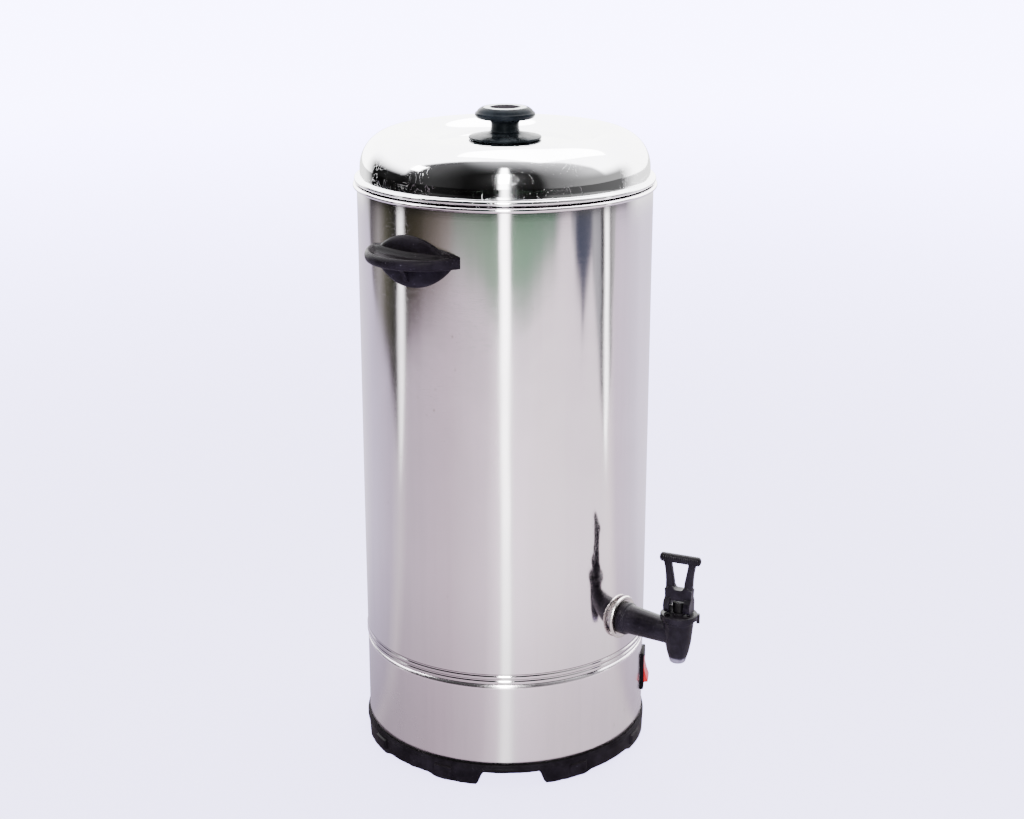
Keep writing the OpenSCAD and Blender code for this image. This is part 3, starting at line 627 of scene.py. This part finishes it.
def make_lid():
    points, faces = turned(lid_profile(), 240)
    soft = []
    for x, y, z in points:
        radius = math.hypot(x, y)
        push = 0.30 * wave(x, y, z, 42.0) * min(1.0, max(0.0, (z - RIM_Z - 6.0) / 8.0))
        grow = 1 + push / radius if radius > 60 else 1.0
        soft.append((x * grow, y * grow, z + (0.4 * push if z < CREST_Z - 1.0 else min(0.0, 0.4 * push))))
    piece("lid_pressing", soft, faces, LID_STEEL, "lid", "lid_shell")


def make_knob():
    flange = fillet([(2.7, 0.05), (15, 0.0), (31.8, -0.3, 0.3), (33.2, 0.6, 0.5), (33.0, 1.8, 0.5),
                     (22, 4.0, 6), (16, 5.2, 3), (13.6, 6.4), (2.7, 6.4)])
    flange = [(r, KNOB_Z + z) for r, z in flange]
    turned_piece("knob_base_flange", flange, 128, KNOB_PLASTIC, "lid", "knob_flange")
    top = KNOB_Z + 6.6
    grip = [(2.6, top), (13.2, top), (13.2, top + 0.8), (12.8, top + 3.0)]
    grip += arc((17.3, top + 6), 4.6, 175, 100, 8)
    grip += arc((23.9, top + 15.0), 3.5, -75, 28, 10)
    grip += arc((17.4, top + 11.8), 10.2, 32, 74, 8)
    grip += [(19.95, top + 21.0), (19.95, top + 20), (6, top + 20), (2.6, top + 14)]
    turned_piece("knob_moulding", grip, 128, KNOB_PLASTIC, "lid", "knob_grip")
    base = KNOB_Z + 26.6
    ring = fillet([(13.9, base), (19.7, base), (19.7, base + 1.6, 0.5), (13.9, base + 1.6, 0.5)])
    turned_piece("knob_white_ring", ring, 96, RING_WHITE, "lid", "knob_ring")
    cap = [(0, base), (13.7, base)] + fillet([(13.7, base), (13.7, base + 1.3, 0.5), (12.4, base + 1.7, 0.4),
                                              (0, base + 1.8)], closed=False)[1:]
    turned_piece("knob_cap_disc", cap, 96, CAP_FILM, "lid", "knob_cap")


make_lid()
make_knob()

# ---- handles ----

PLATE_W = 43.5
PLATE_H = 23.0
GRIP_R = 50.0
GRIP_X = 118.0
GRIP_HALF = 49.2
GRIP_LOW = 491.5
GRIP_HIGH = 501.5


def ease(value, low, high):
    t = min(1.0, max(0.0, (value - low) / (high - low)))
    return t * t * (3 - 2 * t)


def grip_top(x, y):
    """Height of the grip's top: a smooth rim, a hollow for the palm and a ridge at the plate."""
    from_rim = GRIP_R - math.hypot(x - GRIP_X, y)
    from_wall = math.hypot(x, y) - BODY_R
    hollow = 3.1 * ease(from_rim, 3.2, 9.5)
    ridge = (hollow + 1.6) * ease(from_wall, 9.0, 4.6)
    return GRIP_HIGH - hollow + ridge * ease(abs(y), 50.0, 34.0)


def grip_section(y):
    """Closed section of the grip at y, from the tank's wall out to the rim and back."""
    wall = math.sqrt((BODY_R + 0.1) ** 2 - y * y)
    rim = GRIP_X + math.sqrt(max(0.0, GRIP_R ** 2 - y * y))
    deep = max(rim - wall, 0.4)
    round_r = min(4.4, deep * 0.48)
    middle = (GRIP_LOW + GRIP_HIGH) / 2
    out = [(wall + (deep - round_r) * k / 5, GRIP_LOW + 0.9 * math.sin(math.pi * k / 5) ** 2)
           for k in range(6)]
    out += [(rim - round_r + round_r * math.cos(a), middle + (GRIP_HIGH - middle) * math.sin(a))
            for a in [math.radians(-80 + 160 * k / 12) for k in range(13)]]
    top_x = [rim - round_r - (deep - round_r) * k / 16 for k in range(1, 17)]
    out += [(x, grip_top(x, y)) for x in top_x]
    return [(x, y, z) for x, z in out]


def plate_half(y):
    lens = (PLATE_W ** 2 + PLATE_H ** 2) / (2 * PLATE_H) + 2
    return max(0.3, math.sqrt(lens * lens - y * y) - lens + PLATE_H)


def handle_plate():
    """The domed lens-shaped plate that follows the tank's wall."""
    across, along = 14, 44
    front, back = [], []
    for i in range(along + 1):
        y = PLATE_W * bunched(i, along)
        for k in range(across + 1):
            t = bunched(k, across)
            height = HANDLE_Z + t * plate_half(y)
            swell = 5.0 * max(0.0, 1 - t ** 4) ** 0.5 * max(0.0, 1 - (y / PLATE_W) ** 8) ** 0.5
            angle = y / BODY_R
            for rows, radius in ((front, BODY_R + 0.1 + swell), (back, BODY_R + 0.05)):
                rows.append((radius * math.cos(angle), radius * math.sin(angle), height))
    wide = across + 1
    faces = [[i * wide + k, (i + 1) * wide + k, (i + 1) * wide + k + 1, i * wide + k + 1]
             for i in range(along) for k in range(across)]
    start = len(front)
    return front + back, faces + [[start + v for v in face[::-1]] for face in faces]


def handle_gusset():
    """The rib under the middle of the grip, with its rounded foot."""
    outline = fillet([(BODY_R + 1, HANDLE_Z - 17), (BODY_R + 5.5, HANDLE_Z - 17, 2),
                      (BODY_R + 9, HANDLE_Z - 9, 5), (BODY_R + 17, GRIP_LOW + 1.5, 2),
                      (BODY_R + 1, GRIP_LOW + 1.5)])
    return loft([[(x, y, z) for x, z in outline] for y in (-2.5, -2.1, 2.1, 2.5)])


def make_handle(name, turn, node):
    ys = [GRIP_HALF * bunched(k, 48) for k in range(49)]
    parts = joined(loft([grip_section(y) for y in ys]), handle_plate(), handle_gusset())
    points = moved(parts[0], Matrix.Rotation(math.radians(turn), 4, "Z"))
    return piece(name, points, parts[1], WORN_PLASTIC, "urn", node, crease=50.0)


make_handle("left_side_grip", 180.0, "handle_left")
make_handle("right_side_grip", 0.0, "handle_right")

# ---- tap ----


def blended(name, voxel, rounds, parts):
    """Overlapping closed shapes, made one moulded skin with soft inner corners."""
    points, faces = joined(*parts)
    mesh = bpy.data.meshes.new(name)
    mesh.from_pydata([Vector(p) * MM for p in points], [], faces)
    made = placed(name, mesh)
    remesh = made.modifiers.new("blend", "REMESH")
    remesh.mode = "VOXEL"
    remesh.voxel_size = voxel * MM
    relax = made.modifiers.new("relax", "SMOOTH")
    relax.factor = 0.5
    relax.iterations = rounds
    graph = bpy.context.evaluated_depsgraph_get()
    done = made.evaluated_get(graph).to_mesh()
    out = [tuple(v.co / MM) for v in done.vertices], [list(f.vertices) for f in done.polygons]
    bpy.data.objects.remove(made)
    return out


def about_y(profile, steps=96):
    """A profile of (radius, distance out along -Y) turned about the tap's arm."""
    points, faces = turned(profile, steps)
    return [(x, -z, y + TAP_Z) for x, y, z in points], faces


def make_tap():
    arm = fillet([(0, 139.2), (15.3, 139.2, 0.6), (15.3, 145.4, 0.9), (13.9, 146.2, 0.4), (13.4, 149, 2),
                  (11.0, 199.5), (0, 199.5)])
    thread = [(0, 121.0), (7.6, 121.0), (8.0, 121.6), (8.0, 140.0), (0, 140.0)]
    spout = fillet([(0, 12.0), (0, -9.0), (4.9, -9.0), (4.9, -27.4), (6.2, -27.4, 0.5), (7.2, -26.4, 0.7),
                    (10.2, -16.6, 6), (12.0, -6.8, 8), (13.9, 12.7, 3), (14.3, 13.2, 0.4), (14.3, 16, 0.4),
                    (0, 16)])
    turned_spout = turned([(r, TAP_Z + z) for r, z in spout], 96)
    turned_spout = [(x, y + TAP_Y, z) for x, y, z in turned_spout[0]], turned_spout[1]
    ridge = ((-0.35, -1), (0.35, -1), (0.25, 0.45), (-0.25, 0.45))
    parting = loft([[(x, -y, TAP_Z + 12.9 - (y - 147) * 0.046 + z) for x, z in ridge] for y in (147, 188)])
    points, faces = blended("tap_blend", 0.55, 4, [about_y(arm), about_y(thread), turned_spout, parting])
    return piece("tap_moulding", points, faces, TAP_PLASTIC, "urn", "tap_body", crease=180.0)


def make_bonnet():
    top = TAP_Z + 16.0
    profile = fillet([(4.08, top - 6.5), (9.4, top - 6.5), (9.4, top + 0.05), (17.1, top + 0.05, 0.4),
                      (17.1, top + 4.4, 0.9), (16.0, top + 5.3, 0.5), (12.0, top + 5.3), (11.6, top + 4.9),
                      (7.0, top + 4.9), (6.6, top + 5.4), (4.08, top + 5.4)])
    points, faces = turned(profile, 96)
    tab = fillet([(-2.4, -16.2), (2.4, -16.2), (2.1, -19.2, 0.8), (-2.1, -19.2, 0.8)])
    turn = Matrix.Rotation(math.radians(38.5), 4, "Z")
    levels = (top - 5.0, top - 4.6, top + 3.0, top + 3.4)
    key = loft([moved([(x, y, z) for x, y in tab], turn) for z in levels])
    points, faces = joined((points, faces), key)
    points = [(x, y + TAP_Y, z) for x, y, z in points]
    return piece("tap_cap", points, faces, TAP_PLASTIC, "urn", "tap_bonnet")


def make_washer():
    profile = fillet([(8.4, 138.0), (17.0, 138.0), (18.6, 136.8, 1), (19.9, 137.0, 0.6), (20.3, 138.0, 0.6),
                      (19.6, 139.2, 0.8), (18.2, 139.5, 1.2), (16.6, 139.0, 0.5), (15.5, 139.0),
                      (8.4, 139.0)])
    points, faces = about_y(profile, 128)
    return piece("tap_bright_washer", points, faces, BRIGHT, "urn", "tap_washer")


# Lever, in its own frame: +X the way it swings, +Y along its bar
PIN_Z = 177.0
BAR_Z = 222.5
BAR_L = 38.4
CHEEK = 12.6
LEVER_FRAME = Matrix.Translation((0, TAP_Y, 0)) @ Matrix.Rotation(math.radians(180 + LEVER_TURN), 4, "Z")
CAM_DROP = 6.2
CAM_K = 4.0 / (math.pi / 2)


def cam(turn):
    """The cam face at a turn in degrees, which lifts the stem evenly."""
    a = math.radians(turn)
    far = CAM_DROP + CAM_K * a
    return far * math.sin(a) + CAM_K * math.cos(a), CAM_K * math.sin(a) - far * math.cos(a)


def lever_cheek(y0, y1):
    outline = [(-5.4, -CAM_DROP), (-6.8, -CAM_DROP + 1.4), (-6.9, 5.0), (-4.8, 9.0), (5.4, 9.0), (9.4, 5.6)]
    outline += [cam(t) for t in range(90, -1, -10)]
    step = 0.5 if y1 > y0 else -0.5
    sections = [(y0, 0.94), (y0 + step, 1.0), (y1 - step, 1.0), (y1, 0.94)]
    return loft([[(x * k, y, PIN_Z + z) for x, z in outline] for y, k in sections])


def lever_bridge():
    """The solid crotch of the loop, which joins the two cheeks over the stem."""
    outline = fillet([(-CHEEK + 0.4, 6.8), (-6.4, 6.2, 3), (6.4, 6.2, 3), (CHEEK - 0.4, 6.8),
                      (CHEEK + 0.3, 17), (5.2, 20.5, 2), (3.9, 16.6, 2.6), (-3.9, 16.6, 2.6),
                      (-5.2, 20.5, 2), (-CHEEK - 0.3, 17)])
    return loft([[(x * k, y * (1 - 0.04 * (1 - k)), PIN_Z + z) for y, z in outline]
                 for x, k in ((-4.4, 1), (-3.6, 0.97), (3.6, 0.97), (5.0, 1))])


def lever_leg(side):
    """One leg of the loop, from its cheek up to the bar."""
    rings = []
    for up, inner, outer in ((4.0, 7.0, 12.5), (12.0, 6.0, 12.6), (18.0, 4.3, 12.8), (24.0, 4.9, 12.8),
                             (32.0, 6.4, 13.3), (38.0, 7.5, 14.2), (42.0, 7.9, 15.4), (45.5, 7.6, 16.4)):
        middle, half, thick = (inner + outer) / 2, (outer - inner) / 2, 3.9
        turns = [TAU * k / 20 for k in range(20)]
        ring = [(math.copysign(abs(math.cos(a)) ** 0.6 * thick, math.cos(a)),
                 math.copysign(abs(math.sin(a)) ** 0.6 * half, math.sin(a))) for a in turns]
        rings.append([(x, side * middle + y, PIN_Z + up) for x, y in ring])
    return loft(rings)


def along_bar(profile, steps):
    """A profile of (radius, distance along the lever's Y) turned about the finger bar."""
    points, faces = turned(profile, steps, closed=False)
    return [(x, z, y + BAR_Z) for x, y, z in points], [face[::-1] for face in faces]


def lever_bar():
    """The ribbed finger bar along the lever's Y."""
    count, profile = 84, [(0, -BAR_L / 2)]
    for k in range(count + 1):
        z = -BAR_L / 2 + BAR_L * k / count
        edge = BAR_L / 2 - abs(z)
        radius = 4.25 - 2.2 * (1 - min(1.0, edge / 2.2)) ** 2
        rib = 0.22 * math.cos(TAU * z / 1.9) * ease(edge, 2.4, 3.6)
        profile.append((radius + rib, z))
    profile.append((0, BAR_L / 2))
    return along_bar(profile, 40)


def make_lever():
    parts = [lever_cheek(-CHEEK, -6.7), lever_cheek(6.7, CHEEK), lever_bridge(), lever_leg(-1), lever_leg(1)]
    end = BAR_L / 2 - 1.5
    parts.append(along_bar([(0, -end), (3.9, -end), (3.9, end), (0, end)], 32))
    points, faces = joined(blended("lever_blend", 0.4, 4, parts), lever_bar())
    points = moved(points, LEVER_FRAME)
    return piece("tap_lever_loop", points, faces, TAP_PLASTIC, "tap_lever", "tap_lever", crease=70.0)


make_tap()
make_bonnet()
make_washer()
make_lever()

# ---- base ring ----

CUTOUTS = [BASE_TURN + az for az in (-45.0, 45.0, 135.0, 225.0)]
TABS = [BASE_TURN + az + side for az in (0, 90, 180, 270) for side in (-17.5, 17.5)]


def ring_noise(angle, scale, seed):
    """Unevenness along the ring, from -1 to 1."""
    a = math.radians(angle)
    return noise.noise(Vector((math.cos(a) * scale, math.sin(a) * scale, seed)))


def ring_bottom(angle):
    """Height of the worn lower edge: feet beside each gap, and a raised stretch between feet."""
    off = from_nearest(angle, CUTOUTS)
    foot = 1.3 + 3.0 * ease(off, 30.0, 35.0)
    low = 14.2 + (foot - 14.2) * ease(off, 10.8, 14.0)
    return low + 0.55 * ring_noise(angle, 9, 3.0) + 0.3 * ring_noise(angle, 34, 7.0)


def ring_section(angle):
    low = ring_bottom(angle)
    tab = ease(from_nearest(angle, TABS), 4.0, 3.4)
    worn = 0.25 * ring_noise(angle, 22, 11.0)
    out = 137.1 + worn * 0.3
    if low > 7.0:
        tab = 0.0
    outline = [(133.3, low + 0.3), (133.8, low), (136.2, low), (out - 0.3, low + 0.3), (out, low + 0.9)]
    rise = max(low + 1.2, 6.6)
    outline += [(out, rise), (out + 2.1 * tab, rise + 0.5), (out + 2.1 * tab, max(rise + 0.8, 15.6)),
                (out, max(rise + 1.0, 16.2)), (out, 17.6), (out - 0.5, 18.4), (136.4, 18.7),
                (136.3, 21.2 + worn), (135.9, 21.7 + worn), (135.3, 21.6 + worn), (135.2, 20.0),
                (118.2, 20.0), (118.0, 19.8), (118.0, 15.2), (118.2, 15.0), (133.2, 15.0)]
    return [outward(angle, r, z) for r, z in outline]


def make_base_ring():
    angles = {float(k) for k in range(360)}
    for places, edges in ((CUTOUTS, (10.8, 11.6, 12.4, 13.2, 14.0)), (TABS, (3.4, 3.7, 4.0))):
        offsets = [side * off for side in (-1, 1) for off in edges]
        angles |= {round((place + off) % 360, 3) for place in places for off in offsets}
    angles = sorted(angles)
    sections = [ring_section(angle) for angle in angles]
    points, faces = loft(sections + [sections[0]], ends=False)
    count = len(sections[0])
    last = len(sections) * count
    faces = [[v - last if v >= last else v for v in face] for face in faces]
    piece("base_moulded_ring", points[:last], faces, WORN_PLASTIC, "urn", "base_ring", crease=40.0)


make_base_ring()

# ---- switch and inlet ----


def rounded_box(half_x, half_z, radius, steps=5):
    """Closed outline of a rounded rectangle in X and Z."""
    corners = [(-half_x, -half_z, radius), (half_x, -half_z, radius), (half_x, half_z, radius),
               (-half_x, half_z, radius)]
    return fillet(corners, steps=steps)


def wall_y(x):
    return -math.sqrt((BODY_R + 0.05) ** 2 - x * x)


def socket(name, sizes, look, azimuth, height, node, deep):
    """A flanged housing: sizes are (half width, half height, corner radius, distance proud of the wall or,
    below zero, depth in it), from the outer edge in to the pocket's floor."""
    sections = []
    for half_x, half_z, radius, proud in sizes:
        outline = rounded_box(half_x, half_z, radius)
        sections.append([(x, -BODY_R - proud if proud else wall_y(x), z) for x, z in outline])
    points, faces = loft(sections, ends=False)
    count = len(sections[0])
    last = (len(sections) - 1) * count
    faces.append([last + k for k in range(count)])
    back = rounded_box(sizes[-1][0] + 1.1, sizes[-1][1] + 1.1, 1.5)
    shell = loft([[(x, -BODY_R + 1.6, z) for x, z in back], [(x, -BODY_R + deep, z) for x, z in back]])
    points, faces = joined((points, faces), shell)
    faces = [face[::-1] for face in faces]
    return piece(name, moved(points, facing(azimuth, height)), faces, look, "urn", node)


def make_switch():
    bezel = [(13, 19, 2.2, 0), (13, 19, 2.2, 1.7), (12.6, 18.6, 2.0, 2.3), (11.9, 17.9, 1.8, 2.6),
             (10.7, 15.3, 1.2, 2.6), (10.3, 14.9, 1.0, 2.2), (10.1, 14.7, 0.9, 1.6), (10.1, 14.7, 0.9, -9.0)]
    socket("switch_bezel", bezel, PLASTIC, SWITCH_AZ, SWITCH_Z, "switch_housing", 22.0)
    outline = fillet([(6.5, -13.3, 0.9), (5.5, -5, 14), (5.4, 0, 3), (5.5, 5, 14), (6.5, 13.3, 0.9),
                      (3, 13.2, 1), (-3, 8, 3), (-5, 0, 3), (-3, -8, 3), (3, -13.2, 1)])
    rings = [[(out * k, x, z * k) for out, z in outline]
             for x, k in ((-9.8, 0.955), (-9.5, 0.985), (-9.0, 1.0), (9.0, 1.0), (9.5, 0.985), (9.8, 0.955))]
    points, faces = loft(rings)
    tilt = Matrix.Rotation(math.radians(-12.0), 4, "Y")
    points = [(y, -x - BODY_R + 2, z) for x, y, z in moved(points, tilt)]
    points = moved(points, facing(SWITCH_AZ, SWITCH_Z))
    piece("switch_red_rocker", points, faces, RED, "rocker", "switch_rocker")


def make_inlet():
    flange = [(11.5, 25, 2.5, 0), (11.5, 25, 2.5, 2.2), (11.0, 24.5, 2.2, 2.8), (10.4, 23.9, 2.0, 3.0),
              (8.8, 12.9, 2.4, 3.0), (8.4, 12.5, 2.2, 2.7), (8.2, 12.3, 2.2, 2.2), (8.2, 12.3, 2.2, -17.9)]
    socket("inlet_flange", flange, PLASTIC, 180.0, INLET_Z, "inlet_housing", 27.0)


def make_spring():
    """Round wire wound under the tap's cap."""
    low, top, turns = TAP_Z, TAP_Z + 11.3, 4
    coil_r, wire_r = 6.7, 0.55
    sections, steps = [], 36 * turns
    for k in range(steps + 1):
        a = TAU * turns * k / steps
        out = Vector((math.cos(a), math.sin(a), 0))
        height = low + wire_r + (top - low - 2 * wire_r) * k / steps
        middle = out * coil_r + Vector((0, TAP_Y, height))
        wire_turns = [TAU * j / 10 for j in range(10)]
        sections.append([tuple(middle + out * wire_r * math.cos(t) + Vector((0, 0, wire_r * math.sin(t))))
                         for t in wire_turns])
    points, faces = loft(sections)
    made = piece("tap_return_spring", points, faces, PLATED, "urn", "valve_spring")
    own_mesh(made)


make_switch()
make_inlet()
make_spring()

# ---- camera, floor and light ----

AMBIENT = 1.6
ROOM = 9.0
REFLECTED = 2.6
REFLECTED_SPREAD = 1.18
# Painted light of the floor: its glow near the urn and far off
FLOOR_NEAR = (2.9, 2.66, 4.5)
FLOOR_FAR = (8.0, 7.4, 14.0)

camera_az = math.radians(CAMERA_AZ)
to_camera = Vector((math.sin(camera_az), -math.cos(camera_az), 0))
to_right = Vector((math.cos(camera_az), math.sin(camera_az), 0))


def make_camera():
    data = bpy.data.cameras.new("camera")
    data.lens = CAMERA_LENS
    data.sensor_width = 36.0
    data.clip_end = 60.0
    made = placed("camera", data)
    made.location = to_camera * CAMERA_FAR + to_right * CAMERA_SIDE + Vector((0, 0, CAMERA_HIGH))
    pitch = math.radians(90 - CAMERA_PITCH)
    made.rotation_euler = (Matrix.Rotation(camera_az, 4, "Z") @ Matrix.Rotation(pitch, 4, "X")
                           @ Matrix.Rotation(math.radians(CAMERA_ROLL), 4, "Z")).to_euler()
    bpy.context.scene.camera = made


def stage_sheet(name, half, look):
    """A level square that isn't part of the urn."""
    mesh = bpy.data.meshes.new(name)
    corners = [(-half, -half, 0), (half, -half, 0), (half, half, 0), (-half, half, 0)]
    mesh.from_pydata(corners, [], [[0, 1, 2, 3]])
    mesh.materials.append(look)
    made = placed(name, mesh)
    return made


def make_floor():
    """Pale paper lit by a painted glow, brighter towards the backdrop; a little real shade still falls on
    it.
    """
    made, s, surface = material("pale_floor", Specular_IOR_Level=0.0, Emission_Strength=1.0)
    cloud = s.noise(1.5, 2.0)
    far = s.length(s.point())
    glow = s.mix(s.span(far, 0.3, 5.0), rgba(FLOOR_NEAR), rgba(FLOOR_FAR))
    wire(s, surface, Base_Color=s.mix(cloud, rgba((0.33, 0.33, 0.36)), rgba((0.35, 0.35, 0.38))),
         Roughness=s.span(cloud, 0.2, 0.8, 0.5, 0.6), Emission_Color=glow)
    return stage_sheet("floor", 9.0, made)


# What steel reflects of the studio, as (degrees from the camera's side to its right, grey or colour).
# Near the level of the floor
STUDIO_LOW = (
    (-141, 1.0), (-124, 0.0006), (-104, 0.002), (-84, 0.0006), (-60, 0.006), (-30, 0.0008),
    (28, 0.001), (35, 0.022), (70, 0.05), (104, 0.07), (120, 1.0))
# Where the pale paper ends, in shares of PAPER_FAR
PAPER_EDGE = (
    (-141, 0.86), (-122, 0.42), (-100, 0.3), (-86, 0.21), (-80, 0.33), (-50, 0.42), (-36, 0.48),
    (-16, 0.43), (0, 0.38), (18, 0.4), (38, 0.52), (48, 0.64), (54, 0.46), (60, 0.37), (68, 0.5),
    (75, 0.3), (82, 0.22), (88, 0.3), (92, 0.6), (120, 0.85))
# Beyond the paper's edge
BEYOND = (
    (-141, 0.95), (-124, (0.06, 0.055, 0.06)), (-112, (0.17, 0.16, 0.155)),
    (-102, (0.05, 0.05, 0.035)), (-90, 0.004), (-86.5, 1.6), (-83.5, 1.6),
    (-81, (0.012, 0.011, 0.006)), (-66, (0.035, 0.031, 0.02)), (-52, (0.1, 0.088, 0.072)),
    (-42, (0.17, 0.155, 0.135)), (-36, (0.16, 0.2, 0.16)), (0, (0.15, 0.24, 0.165)),
    (37, (0.1, 0.2, 0.13)), (42, (0.25, 0.25, 0.27)), (53, (0.2, 0.2, 0.23)),
    (55, (0.028, 0.034, 0.055)), (67, (0.05, 0.055, 0.075)), (70, (0.28, 0.28, 0.3)),
    (76, (0.22, 0.22, 0.24)), (77.5, 0.006), (80, 0.006), (81, 2.4), (84, 2.4), (85, 0.006), (89, 0.3),
    (110, 0.38), (116, 0.03), (118, 0.5))
# The paper itself
PAPER = (
    (-150, (0.6, 0.55, 0.68)), (-125, (0.44, 0.39, 0.52)), (-96, (0.37, 0.32, 0.41)),
    (-86, (0.48, 0.42, 0.47)), (-78, (0.37, 0.31, 0.37)), (-40, (0.43, 0.35, 0.41)),
    (-14, (0.56, 0.47, 0.54)), (-5, (0.83, 0.71, 0.8)), (-1.5, 1.0), (2.5, 1.0),
    (7, (0.89, 0.77, 0.87)), (30, (0.8, 0.7, 0.76)), (60, (0.74, 0.65, 0.72)),
    (80, (0.76, 0.68, 0.73)), (84, (0.75, 0.66, 0.7)), (92, (0.52, 0.44, 0.54)),
    (118, (0.56, 0.5, 0.62)), (128, (0.64, 0.58, 0.72)))
# The bright stripe of the front light
STRIPE = ((-3.6, 0.0), (-1.8, 1.0), (2.0, 1.0), (4.2, 0.0))
# How far the paper reaches, and how uneven its edge is, in metres
PAPER_FAR = 4.0
PAPER_ROUGH = 0.35


def bearing(s, point):
    """Turn from the camera's side to its right, as a share of a full turn with the camera at one half."""
    toward = s.along(point, to_camera)
    right = s.along(point, to_right)
    angle = s.math("ARCTAN2", right, toward)
    return s.plus(s.math("DIVIDE", angle, TAU), 0.5), toward


def turn(degrees):
    return 0.5 + degrees / 360.0


def sweep(s, around, ends, stops):
    """Colour along stops in degrees round the urn, with one colour at both ends, behind the urn."""
    places = [(turn(degrees), colour) for degrees, colour in stops]
    return s.ramp(around, [(0.0, ends), *places, (1.0, ends)])


def studio_low(s, around):
    """The studio round the urn near the level of the floor: dark in front, pale behind."""
    return sweep(s, around, 1.0, STUDIO_LOW)


# Ceiling that the lid reflects, from behind the urn (0) over it to the camera's side (1)
CEILING = ((0.0, 1.0), (0.55, 1.0), (0.60, 0.13), (0.74, 0.06), (0.86, 0.02), (0.94, 0.0), (1.0, 0.0))


def make_world():
    """Pale backdrop for the camera and soft light, with a dim studio in front that only reflections see."""
    world = bpy.data.worlds.new("studio")
    bpy.context.scene.world = world
    world.use_nodes = True
    s = Shader(world.node_tree)
    ray = s.add("TexCoord").outputs["Generated"]
    around, toward = bearing(s, ray)
    up = s.level(ray)
    low = studio_low(s, around)
    side = s.along(ray, to_right)
    overhead = s.ramp(s.span(toward, -1.0, 1.0), CEILING)
    paler = s.span(toward, 0.05, 0.12, 1.0, s.span(side, -0.40, -0.05, 0.12, 1.0))
    overhead = s.times(s.times(overhead, paler), s.span(up, 0.15, 0.5))
    room = s.mix(overhead, low, rgba((1.0, 1.0, 1.03)))
    off = s.gap(around, turn(-1))
    lamp = s.times(s.span(off, 0.016, 0.008), s.span(up, 0.90, 0.86))
    room = s.mix(lamp, room, rgba(1.8))
    paths = s.add("LightPath").outputs
    seen = s.add("Background", {"Color": room, "Strength": ROOM})
    soft = s.add("Background", {"Color": rgba((0.96, 0.96, 1.0)), "Strength": AMBIENT})
    back = s.add("Background", {"Color": rgba(FLOOR_FAR), "Strength": 1.0})
    mixed = s.add("MixShader", {0: paths["Is Glossy Ray"], 1: soft.outputs[0], 2: seen.outputs[0]})
    mixed = s.add("MixShader", {0: paths["Is Camera Ray"], 1: mixed.outputs[0], 2: back.outputs[0]})
    s.add("OutputWorld", {"Surface": mixed.outputs[0]})


def only_in_reflections(made):
    for name in ("camera", "diffuse", "shadow", "transmission", "volume_scatter"):
        setattr(made, "visible_" + name, False)


def make_reflected_floor():
    """What polished steel sees of the floor: pale paper by the urn, and the studio beyond its edge."""
    made = bpy.data.materials.new("reflected_floor")
    made.use_nodes = True
    s = Shader(made.node_tree)
    point = s.point()
    wobble = s.add("TexNoise", {"Vector": point, "Scale": 3.0, "Detail": 3.0}).outputs[0]
    around, _ = bearing(s, point)
    around = s.plus(around, s.times(s.minus(wobble, 0.5), 0.012))
    far = s.length(point)
    rough_edge = s.add("TexNoise", {"Vector": point, "Scale": 2.2, "Detail": 4.0}).outputs[0]
    edge = sweep(s, around, 0.88, PAPER_EDGE)
    uneven = s.times(s.minus(rough_edge, 0.5), PAPER_ROUGH)
    edge = s.plus(s.times(edge, PAPER_FAR), uneven)
    beyond = sweep(s, around, 0.95, BEYOND)
    paper = sweep(s, around, (0.64, 0.58, 0.72), PAPER)
    outside = s.span(s.minus(far, edge), -0.10, 0.10)
    shade = s.span(far, 0.10, 0.60, 0.62, 1.0)
    stripe = sweep(s, around, 0.0, STRIPE)
    colour = s.mix(1.0, paper, shade, "MULTIPLY")
    colour = s.mix(outside, colour, beyond)
    colour = s.mix(s.span(far, 2.25, 2.6), colour, studio_low(s, around))
    colour = s.mix(s.times(stripe, s.span(far, 0.15, 1.5, 0.12, 1.0)), colour, rgba(3.6))
    light = s.add("Emission", {"Color": colour, "Strength": REFLECTED})
    s.add("OutputMaterial", {"Surface": light.outputs[0]})
    card = stage_sheet("reflected_floor", 7.0, made)
    card.location = (0, 0, -0.002)
    card.scale = (REFLECTED_SPREAD, REFLECTED_SPREAD, 1.0)
    only_in_reflections(card)


def softbox(name, azimuth, elevation, far, width, height, power, aim=0.3):
    data = bpy.data.lights.new(name, "AREA")
    data.shape = "RECTANGLE"
    data.size, data.size_y = width, height
    data.energy = power
    made = placed(name, data)
    a, e = math.radians(azimuth), math.radians(elevation)
    target = Vector((0, 0, aim))
    away = (to_camera * math.cos(a) + to_right * math.sin(a)) * math.cos(e) + Vector((0, 0, math.sin(e)))
    made.location = target + away * far
    made.rotation_euler = away.to_track_quat("Z", "Y").to_euler()
    return made


make_camera()
floor = make_floor()
floor.visible_glossy = False
make_reflected_floor()
make_world()
softbox("front_softbox", -1.0, 32.0, 2.6, 0.35, 1.1, 60.0)
softbox("top_softbox", 150.0, 70.0, 2.4, 1.8, 1.8, 90.0)
softbox("left_softbox", -78.0, 38.0, 2.4, 0.35, 0.5, 10.0)
